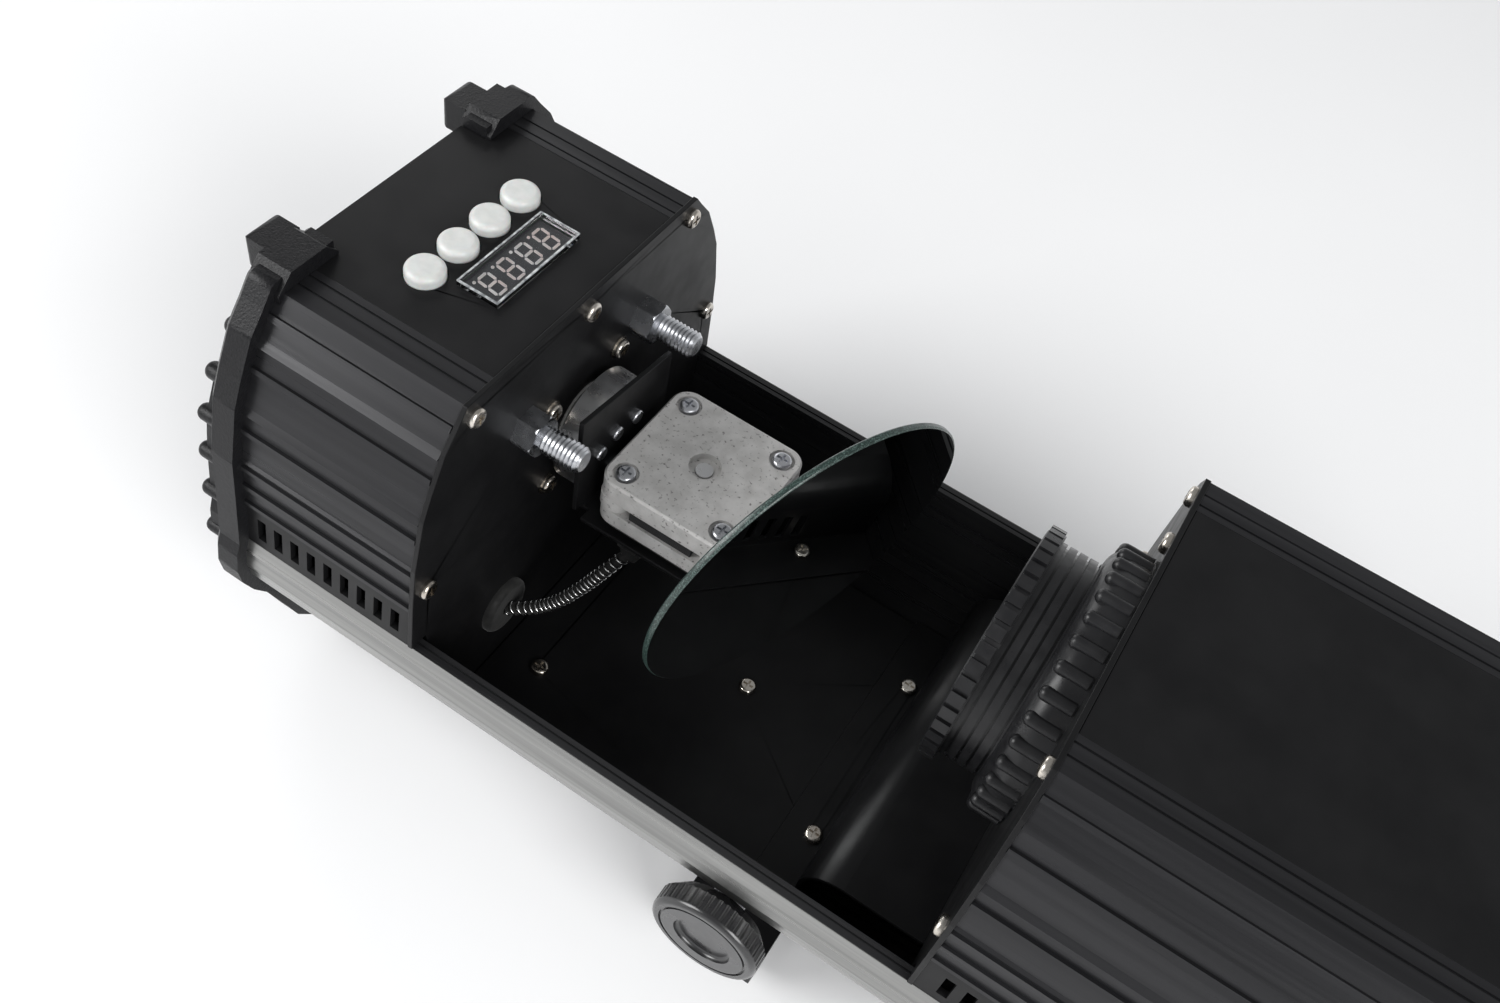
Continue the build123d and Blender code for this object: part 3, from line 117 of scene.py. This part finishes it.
def mesh_piece(name, vertices, faces, smooth=False):
    mesh = bpy.data.meshes.new(name)
    mesh.from_pydata([tuple(v) for v in vertices], [], faces)
    mesh.validate()
    mesh.update()
    mesh.polygons.foreach_set("use_smooth", [smooth] * len(mesh.polygons))
    return link(name, mesh)


def nurbs_points(route):
    """Points along the smooth NURBS line of a route."""
    curve = bpy.data.curves.new("route", "CURVE")
    curve.dimensions = "3D"
    curve.resolution_u = ROUTE_STEPS
    spline = curve.splines.new("NURBS")
    spline.points.add(len(route) - 1)
    for point, place in zip(spline.points, route):
        point.co = (*place, 1.0)
    spline.order_u = 3
    spline.use_endpoint_u = True
    carrier = link("route", curve)
    mesh = bpy.data.meshes.new_from_object(carrier)
    points = [vertex.co.copy() for vertex in mesh.vertices]
    bpy.data.objects.remove(carrier)
    bpy.data.meshes.remove(mesh)
    return points


def frames_along(points):
    """Point, tangent and two sideways directions that turn as little as they can."""
    side = None
    result = []
    for index, point in enumerate(points):
        before = points[max(index - 1, 0)]
        after = points[min(index + 1, len(points) - 1)]
        tangent = (after - before).normalized()
        if side is None:
            side = tangent.cross(Vector((0, 0, 1))).normalized()
        side = (side - tangent * side.dot(tangent)).normalized()
        result.append((point, side, tangent.cross(side)))
    return result


def tube(name, points, radius, sides):
    """Closed round tube along a line."""
    vertices = []
    for point, side, lift in frames_along(points):
        for index in range(sides):
            angle = 2 * math.pi * index / sides
            vertices.append(point + radius * (math.cos(angle) * side + math.sin(angle) * lift))
    faces = [tuple(reversed(range(sides)))]
    for ring in range(len(points) - 1):
        for index in range(sides):
            low = ring * sides
            after = (index + 1) % sides
            faces.append((low + index, low + after, low + sides + after, low + sides + index))
    faces.append(tuple(range(len(vertices) - sides, len(vertices))))
    return mesh_piece(name, vertices, faces, smooth=True)


def helix_points(points, radius, turns):
    """Points of a coil wound round a line."""
    frames = frames_along(points)
    total = turns * SPRING_STEPS
    coil = []
    for step in range(total + 1):
        place = step / total * (len(frames) - 1)
        index = min(int(place), len(frames) - 2)
        share = place - index
        point = frames[index][0].lerp(frames[index + 1][0], share)
        side = frames[index][1].lerp(frames[index + 1][1], share).normalized()
        lift = frames[index][2].lerp(frames[index + 1][2], share).normalized()
        angle = 2 * math.pi * step / SPRING_STEPS
        coil.append(point + radius * (math.cos(angle) * side + math.sin(angle) * lift))
    return coil


# ---- material helpers ---------------------------------------------------------------------
def noise(tree, coordinate, scale, detail=3.0):
    node = tree.nodes.new("ShaderNodeTexNoise")
    node.inputs["Scale"].default_value = scale
    node.inputs["Detail"].default_value = detail
    tree.links.new(coordinate, node.inputs["Vector"])
    return node.outputs["Fac"]


def remap(tree, value, low, high, to_low, to_high):
    node = tree.nodes.new("ShaderNodeMapRange")
    for socket, number in zip(node.inputs[1:5], (low, high, to_low, to_high)):
        socket.default_value = number
    tree.links.new(value, node.inputs["Value"])
    return node.outputs["Result"]


def mix_colour(tree, factor, first, second):
    node = tree.nodes.new("ShaderNodeMix")
    node.data_type = "RGBA"
    tree.links.new(factor, node.inputs["Factor"])
    for socket, value in ((node.inputs["A"], first), (node.inputs["B"], second)):
        if isinstance(value, bpy.types.NodeSocket):
            tree.links.new(value, socket)
        else:
            socket.default_value = (*value, 1.0)
    return node.outputs["Result"]


def math_node(tree, operation, *values):
    node = tree.nodes.new("ShaderNodeMath")
    node.operation = operation
    for socket, value in zip(node.inputs, values):
        if isinstance(value, bpy.types.NodeSocket):
            tree.links.new(value, socket)
        else:
            socket.default_value = value
    return node.outputs[0]


def bump(tree, shader, height, distance, strength=1.0):
    node = tree.nodes.new("ShaderNodeBump")
    node.inputs["Strength"].default_value = strength
    node.inputs["Distance"].default_value = distance
    tree.links.new(height, node.inputs["Height"])
    tree.links.new(node.outputs["Normal"], shader.inputs["Normal"])


class Look:
    """A Principled material with its texture coordinate, ready for its own nodes."""

    def __init__(self, name, stretch=(1, 1, 1), **constants):
        self.material = bpy.data.materials.new(name)
        self.material.use_nodes = True
        self.tree = self.material.node_tree
        self.shader = self.tree.nodes["Principled BSDF"]
        for socket, value in constants.items():
            self.shader.inputs[socket.replace("_", " ")].default_value = value
        source = self.tree.nodes.new("ShaderNodeTexCoord")
        mapping = self.tree.nodes.new("ShaderNodeMapping")
        mapping.inputs["Scale"].default_value = stretch
        self.tree.links.new(source.outputs["Object"], mapping.inputs["Vector"])
        self.coordinate = mapping.outputs["Vector"]
        self.source = source

    def noise(self, scale, detail=3.0):
        return noise(self.tree, self.coordinate, scale, detail)

    def colour(self, first, second, scale, low=0.35, high=0.65):
        factor = remap(self.tree, self.noise(scale), low, high, 0.0, 1.0)
        result = mix_colour(self.tree, factor, first, second)
        self.tree.links.new(result, self.shader.inputs["Base Color"])
        return result

    def roughness(self, low, high, scale):
        result = remap(self.tree, self.noise(scale), 0.3, 0.7, low, high)
        self.tree.links.new(result, self.shader.inputs["Roughness"])

    def grain(self, scale, distance, strength=1.0, detail=2.0):
        bump(self.tree, self.shader, self.noise(scale, detail), distance, strength)


# ---- materials ----------------------------------------------------------------------------
def anodised_extrusion():
    """Black anodised profile with faint die lines along its length."""
    look = Look("anodised_extrusion", stretch=(0.02, 1, 1), Metallic=0.35, Specular_IOR_Level=0.35)
    look.colour((0.015, 0.015, 0.0165), (0.024, 0.024, 0.026), 260)
    look.roughness(0.27, 0.42, 900)
    look.grain(2600, 0.00002, 0.5)
    return look.material


def powder_black():
    """Fine satin powder coat on sheet steel."""
    look = Look("powder_black", Specular_IOR_Level=0.16)
    look.colour((0.0070, 0.0070, 0.0075), (0.0100, 0.0100, 0.0105), 55)
    look.roughness(0.30, 0.42, 120)
    look.grain(4200, 0.000006, 0.5)
    return look.material


def tray_lacquer():
    """Black inside, bright drawn metal along the bulge of its outer rail."""
    look = Look("tray_lacquer", stretch=(0.015, 1, 1), Specular_IOR_Level=0.5)
    tree = look.tree
    split = tree.nodes.new("ShaderNodeSeparateXYZ")
    tree.links.new(look.source.outputs["Object"], split.inputs["Vector"])
    sideways = math_node(tree, "ABSOLUTE", split.outputs["Y"])
    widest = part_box("base_tray")[1].y
    outer = math_node(tree, "GREATER_THAN", sideways, widest - RAIL_DEEP)
    streak = remap(tree, look.noise(700), 0.3, 0.7, 0.0, 1.0)
    black = mix_colour(tree, streak, (0.010, 0.010, 0.011), (0.016, 0.016, 0.017))
    bright = mix_colour(tree, streak, (0.26, 0.26, 0.255), (0.36, 0.36, 0.35))
    colour = mix_colour(tree, outer, black, bright)
    tree.links.new(colour, look.shader.inputs["Base Color"])
    tree.links.new(outer, look.shader.inputs["Metallic"])
    look.roughness(0.24, 0.36, 500)
    look.grain(2200, 0.00002, 0.4)
    return look.material


def textured_cap():
    """Moulded black cap with a pebbled surface, a little shinier on its crests."""
    look = Look("textured_cap", Specular_IOR_Level=0.2)
    look.colour((0.006, 0.006, 0.007), (0.011, 0.011, 0.012), 1500)
    look.roughness(0.30, 0.46, 1500)
    look.grain(1700, 0.00016, 0.6)
    return look.material


def gloss_black():
    look = Look("gloss_black", Specular_IOR_Level=0.6, Coat_Weight=0.35, Coat_Roughness=0.12)
    look.colour((0.010, 0.010, 0.011), (0.014, 0.014, 0.015), 90)
    look.roughness(0.24, 0.34, 160)
    look.grain(1500, 0.00001, 0.4)
    return look.material


def moulded_black(name="moulded_black", low=0.26, high=0.42):
    look = Look(name, Specular_IOR_Level=0.38)
    look.colour((0.008, 0.008, 0.009), (0.013, 0.013, 0.014), 220)
    look.roughness(low, high, 300)
    look.grain(2400, 0.00001, 0.5)
    return look.material


def black_rubber():
    look = Look("black_rubber", Specular_IOR_Level=0.3, Sheen_Weight=0.15)
    look.colour((0.012, 0.012, 0.012), (0.022, 0.022, 0.021), 300)
    look.roughness(0.6, 0.82, 500)
    look.grain(2600, 0.00005, 0.7)
    return look.material


def button_white():
    look = Look("button_white", Subsurface_Weight=0.15, Subsurface_Scale=0.001, Specular_IOR_Level=0.45)
    look.colour((0.58, 0.59, 0.575), (0.64, 0.65, 0.635), 400)
    look.roughness(0.30, 0.40, 350)
    look.grain(1500, 0.00001, 0.4)
    return look.material


def clear_acrylic():
    look = Look("clear_acrylic", Transmission_Weight=1.0, IOR=1.49)
    look.colour((0.95, 0.97, 0.98), (1.0, 1.0, 1.0), 60)
    look.roughness(0.01, 0.05, 300)
    return look.material


def optical_glass():
    look = Look("optical_glass", Transmission_Weight=1.0, IOR=1.52, Coat_Weight=0.2)
    look.colour((0.93, 0.97, 0.96), (0.97, 0.99, 0.99), 20)
    look.roughness(0.0, 0.03, 80)
    return look.material


def display_face():
    look = Look("display_face", Specular_IOR_Level=0.5)
    look.colour((0.020, 0.020, 0.026), (0.032, 0.031, 0.037), 500)
    look.roughness(0.3, 0.45, 400)
    look.grain(2500, 0.00002, 0.4)
    return look.material


def digit_paint():
    """Unlit segments, pinkish white."""
    look = Look("digit_paint", Specular_IOR_Level=0.3, Roughness=0.5)
    look.colour((0.95, 0.80, 0.75), (0.97, 0.94, 0.92), 160)
    look.roughness(0.4, 0.6, 600)
    return look.material


def plated(name, first, second, low, high, scale=350):
    """Plated or turned metal with a slightly cloudy polish."""
    look = Look(name, Metallic=1.0)
    look.colour(first, second, scale / 4)
    look.roughness(low, high, scale / 2)
    return look.material


def cast_motor():
    """Blasted die casting with small dark pits and rubbed spots."""
    look = Look("cast_motor", Metallic=0.1)
    tree = look.tree
    soft = mix_colour(tree, remap(tree, look.noise(220), 0.35, 0.65, 0.0, 1.0),
                      (0.56, 0.55, 0.535), (0.68, 0.67, 0.655))
    pits = remap(tree, look.noise(900, 4.0), 0.60, 0.70, 0.0, 0.8)
    colour = mix_colour(tree, pits, soft, (0.10, 0.095, 0.09))
    tree.links.new(colour, look.shader.inputs["Base Color"])
    look.roughness(0.42, 0.60, 700)
    look.grain(2600, 0.00004, 0.6)
    return look.material


def laminations():
    look = Look("laminations", Metallic=0.6, Roughness=0.5)
    wave = look.tree.nodes.new("ShaderNodeTexWave")
    wave.bands_direction = "Z"
    wave.inputs["Scale"].default_value = 600.0
    wave.inputs["Distortion"].default_value = 0.6
    look.tree.links.new(look.coordinate, wave.inputs["Vector"])
    colour = mix_colour(look.tree, wave.outputs["Fac"], (0.008, 0.008, 0.008), (0.06, 0.06, 0.062))
    look.tree.links.new(colour, look.shader.inputs["Base Color"])
    bump(look.tree, look.shader, wave.outputs["Fac"], 0.0001)
    return look.material


def mirror_finish():
    """Silver on the front, ground greenish glass round the rim, grey paint behind."""
    polygons = NODES["mirror_glass"].data.polygons
    face = max(polygons, key=lambda polygon: polygon.normal.x * polygon.area)
    look = Look("mirror_finish")
    tree = look.tree
    dot = tree.nodes.new("ShaderNodeVectorMath")
    dot.operation = "DOT_PRODUCT"
    dot.inputs[1].default_value = face.normal
    tree.links.new(look.source.outputs["Normal"], dot.inputs[0])
    facing = dot.outputs["Value"]
    front = math_node(tree, "GREATER_THAN", facing, 0.95)
    rim = math_node(tree, "GREATER_THAN", facing, -0.8)
    chips = remap(tree, look.noise(2600, 4.0), 0.50, 0.66, 0.0, 1.0)
    edge = mix_colour(tree, chips, (0.010, 0.022, 0.019), (0.10, 0.15, 0.135))
    behind = mix_colour(tree, rim, (0.16, 0.16, 0.17), edge)
    colour = mix_colour(tree, front, behind, (0.90, 0.92, 0.915))
    tree.links.new(colour, look.shader.inputs["Base Color"])
    tree.links.new(front, look.shader.inputs["Metallic"])
    rough = math_node(tree, "MULTIPLY_ADD", front, -0.30, 0.302)
    tree.links.new(rough, look.shader.inputs["Roughness"])
    return look.material


def filter_glass():
    """Dichroic filters, each its own colour."""
    look = Look("filter_glass", Transmission_Weight=0.6, Roughness=0.05, Metallic=0.2)
    island = look.tree.nodes.new("ShaderNodeNewGeometry")
    ramp = look.tree.nodes.new("ShaderNodeValToRGB")
    ramp.color_ramp.interpolation = "CONSTANT"
    colours = [(0.8, 0.03, 0.02), (0.9, 0.25, 0.02), (0.85, 0.7, 0.05), (0.03, 0.5, 0.08),
               (0.02, 0.35, 0.7), (0.03, 0.05, 0.6), (0.5, 0.04, 0.5), (0.85, 0.2, 0.45)]
    ramp.color_ramp.elements[0].color = (*colours[0], 1)
    ramp.color_ramp.elements[1].position = 1 / len(colours)
    ramp.color_ramp.elements[1].color = (*colours[1], 1)
    for index, colour in enumerate(colours[2:], start=2):
        ramp.color_ramp.elements.new(index / len(colours)).color = (*colour, 1)
    look.tree.links.new(island.outputs["Random Per Island"], ramp.inputs["Fac"])
    look.tree.links.new(ramp.outputs["Color"], look.shader.inputs["Base Color"])
    return look.material


def circuit_board():
    look = Look("circuit_board", Specular_IOR_Level=0.5)
    look.colour((0.006, 0.06, 0.022), (0.02, 0.13, 0.05), 900, 0.48, 0.52)
    look.roughness(0.25, 0.4, 300)
    look.grain(1200, 0.00003, 0.6)
    return look.material


# ---- which look each CAD node has ---------------------------------------------------------
def dress(material, *names):
    for name in names:
        data = NODES[name].data
        data.materials.clear()
        data.materials.append(material)


def dress_all():
    dress(anodised_extrusion(), "head_side_right", "head_side_left", "lamp_side_right", "lamp_side_left")
    dress(powder_black(), "floor_plate", "step_cover", "vent_grilles", "head_top_panel", "lamp_top_panel",
          "head_bulkhead", "lamp_bulkhead", "pan_bracket", "mirror_arm", "yoke")
    dress(tray_lacquer(), "base_tray")
    dress(textured_cap(), "head_end_cap", "lamp_end_cap")
    dress(gloss_black(), "knob_right", "knob_left", "switch_rocker")
    dress(moulded_black(), "focus_ring", "lens_barrel", "lens_collar")
    dress(moulded_black("socket_black", 0.38, 0.52), "fan_frame", "fan_rotor", "dmx_sockets", "power_entry")
    dress(black_rubber(), "rubber_feet", "cable_grommet", "tilt_motor_gasket", "cable_boot", "motor_cable")
    dress(button_white(), "button_1", "button_2", "button_3", "button_4")
    dress(clear_acrylic(), "display_window")
    dress(display_face(), "display_module")
    dress(optical_glass(), "front_lens", "condenser_lens")
    dress(plated("nickel", (0.52, 0.47, 0.41), (0.74, 0.70, 0.64), 0.14, 0.30), "housing_screws")
    dress(plated("zinc", (0.46, 0.47, 0.49), (0.66, 0.67, 0.70), 0.20, 0.36), "stop_studs", "pan_screws",
          "pivot_studs")
    dress(plated("turned_aluminium", (0.60, 0.60, 0.61), (0.74, 0.74, 0.74), 0.22, 0.36), "pan_hub",
          "tilt_shaft", "lens_carrier")
    dress(plated("mill_aluminium", (0.50, 0.50, 0.51), (0.62, 0.62, 0.62), 0.35, 0.5, 120),
          "optics_chassis", "colour_wheel", "heat_sink", "power_supply")
    dress(cast_motor(), "tilt_motor_rear_cap", "tilt_motor_front_cap", "pan_motor", "wheel_motor")
    dress(laminations(), "tilt_motor_stator")
    dress(mirror_finish(), "mirror_glass")
    dress(filter_glass(), "colour_filters")
    dress(circuit_board(), "control_board", "lamp_board")


def soften_edges():
    """Fine rounds on the sheet edges and mouldings, where they catch the light."""
    for width, names in ROUNDS.items():
        for name in names:
            weld = NODES[name].modifiers.new("weld", "WELD")
            weld.merge_threshold = WELD_DISTANCE
            rounding = NODES[name].modifiers.new("rounding", "BEVEL")
            rounding.width = width
            rounding.segments = 2
            rounding.limit_method = "ANGLE"
            rounding.angle_limit = ROUND_ANGLE
            rounding.harden_normals = True


# ---- pieces made here ---------------------------------------------------------------------
def motor_cable():
    """Black cable in a bright spring sleeve, from the grommet to the boot under the shelf."""
    line = nurbs_points(CABLE_ROUTE)
    core = tube("motor_cable_core", line, CORE_R, CORE_SIDES)
    core.data.materials.append(NODES["motor_cable"].data.materials[0])
    coil = helix_points(line, SPRING_R, SPRING_TURNS)
    spring = tube("motor_cable_spring", coil, SPRING_WIRE_R, WIRE_SIDES)
    steel = plated("spring_steel", (0.62, 0.62, 0.62), (0.80, 0.80, 0.79), 0.12, 0.24)
    spring.data.materials.append(steel)
    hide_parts("motor_cable")
    for piece in (core, spring):
        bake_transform(piece)


def bar_outline(x0, y0, x1, y1):
    """Six-cornered bar between two points of a digit, a little short of both."""
    along = (Vector((x1, y1)) - Vector((x0, y0))).normalized()
    start = Vector((x0, y0)) + along * BAR_GAP
    end = Vector((x1, y1)) - along * BAR_GAP
    across = Vector((-along.y, along.x)) * BAR_HALF
    inner = along * BAR_HALF
    return [start, start + inner + across, end - inner + across,
            end, end - inner - across, start + inner - across]


def digit_outlines():
    """Flat outlines of one digit's seven bars and its point, about the digit's middle."""
    half = DIGIT_WIDE / 2
    top = DIGIT_TALL / 2
    bars = [(-half, top, half, top), (-half, 0, half, 0), (-half, -top, half, -top),
            (-half, 0, -half, top), (half, 0, half, top), (-half, -top, -half, 0), (half, -top, half, 0)]
    outlines = [bar_outline(*bar) for bar in bars]
    middle = Vector((half + POINT_AWAY, -top))
    angles = [2 * math.pi * index / POINT_SIDES for index in reversed(range(POINT_SIDES))]
    outlines.append([middle + POINT_R * Vector((math.cos(angle), math.sin(angle))) for angle in angles])
    return outlines


def prism_faces(first, size):
    """Faces of a prism whose lower ring starts at one vertex and whose upper ring follows it."""
    faces = [tuple(range(first, first + size)), tuple(reversed(range(first + size, first + 2 * size)))]
    for index in range(size):
        after = (index + 1) % size
        faces.append((first + after, first + index, first + size + index, first + size + after))
    return faces


def digits():
    """Four unlit seven-segment digits with their points, raised a hair from the module."""
    low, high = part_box("display_module")
    middle = (low + high) / 2
    vertices = []
    faces = []
    for digit in range(DIGIT_COUNT):
        centre_y = middle.y - (digit - (DIGIT_COUNT - 1) / 2) * DIGIT_PITCH
        for outline in digit_outlines():
            faces += prism_faces(len(vertices), len(outline))
            for z in (high.z, high.z + DIGIT_PROUD):
                for point in outline:
                    across = point.x + DIGIT_SLANT * point.y
                    vertices.append(Vector((middle.x + point.y, centre_y - across, z)))
    piece = mesh_piece("display_digits", vertices, faces)
    piece.data.materials.append(digit_paint())
    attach(piece, "chassis")


def window_edge():
    """Painted highlight along the polished edge round the acrylic window, its rings numbered outer and
    inner, low and high.
    """
    low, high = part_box("display_window")
    corners = [(low.x, low.y, 1, 1), (high.x, low.y, -1, 1), (high.x, high.y, -1, -1),
               (low.x, high.y, 1, -1)]
    count = len(corners)
    vertices = []
    for z in (high.z - EDGE_DEEP, high.z + EDGE_PROUD):
        for inward in (-EDGE_PROUD, EDGE_WIDE):
            vertices += [(x + sx * inward, y + sy * inward, z) for x, y, sx, sy in corners]
    outer_low, inner_low, outer_high, inner_high = range(0, 4 * count, count)
    faces = []
    for index in range(count):
        after = (index + 1) % count
        for first, second in ((outer_high, inner_high), (outer_low, outer_high),
                              (inner_high, inner_low), (inner_low, outer_low)):
            faces.append((first + index, first + after, second + after, second + index))
    piece = mesh_piece("window_edge", vertices, faces)
    # Painted highlight: an opaque light grey colour standing in for the light the window's polished edge
    # catches.
    look = Look("window_edge_painted_highlight", Specular_IOR_Level=0.6)
    look.colour((0.20, 0.21, 0.22), (0.62, 0.64, 0.65), 700)
    look.roughness(0.1, 0.3, 900)
    piece.data.materials.append(look.material)
    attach(piece, "chassis")


# ---- stage --------------------------------------------------------------------------------
def area_light(name, place, aim, size, power):
    data = bpy.data.lights.new(name, "AREA")
    data.shape = "SQUARE"
    data.size = size
    data.energy = power
    lamp = link(name, data)
    lamp.location = place
    lamp.rotation_euler = (Vector(aim) - Vector(place)).to_track_quat("-Z", "Y").to_euler()


def floor():
    half = FLOOR_HALF
    corners = [(-half, -half, 0), (half, -half, 0), (half, half, 0), (-half, half, 0)]
    piece = mesh_piece("floor", corners, [(0, 1, 2, 3)])
    look = Look("floor_white", Specular_IOR_Level=0.2)
    look.colour((0.90, 0.90, 0.905), (0.92, 0.92, 0.925), 3)
    look.roughness(0.6, 0.7, 5)
    piece.data.materials.append(look.material)


def surroundings():
    """White walls that darken towards the ceiling."""
    world = bpy.data.worlds.new("studio")
    world.use_nodes = True
    tree = world.node_tree
    direction = tree.nodes.new("ShaderNodeTexCoord").outputs["Generated"]
    split = tree.nodes.new("ShaderNodeSeparateXYZ")
    tree.links.new(direction, split.inputs["Vector"])
    height = remap(tree, split.outputs["Z"], 0.10, 0.50, WALL_LIGHT, CEILING_LIGHT)
    tree.links.new(height, tree.nodes["Background"].inputs["Strength"])
    tree.nodes["Background"].inputs["Color"].default_value = LIGHT_COLOUR
    bpy.context.scene.world = world


def stage():
    floor()
    surroundings()
    area_light("key", (-1.5, -1.1, 1.1), (0, 0, 0.05), 1.2, KEY_POWER)
    area_light("fill", (1.5, -0.9, 1.2), (0, 0, 0.05), 1.2, FILL_POWER)
    area_light("back", (-1.6, 1.3, 0.9), (0, 0, 0.1), 1.0, BACK_POWER)
    bpy.context.scene.view_settings.view_transform = "Standard"


def camera():
    data = bpy.data.cameras.new("camera")
    data.lens = CAMERA_LENS
    data.sensor_width = SENSOR_WIDTH
    data.clip_start = 0.01
    viewer = link("camera", data)
    right = CAMERA_RIGHT.normalized()
    up = (CAMERA_UP - right * CAMERA_UP.dot(right)).normalized()
    turn = Matrix((right, up, right.cross(up))).transposed()
    viewer.matrix_world = Matrix.Translation(CAMERA_PLACE) @ turn.to_4x4()
    bpy.context.scene.camera = viewer


camera()
dress_all()
motor_cable()
soften_edges()
digits()
window_edge()
stage()
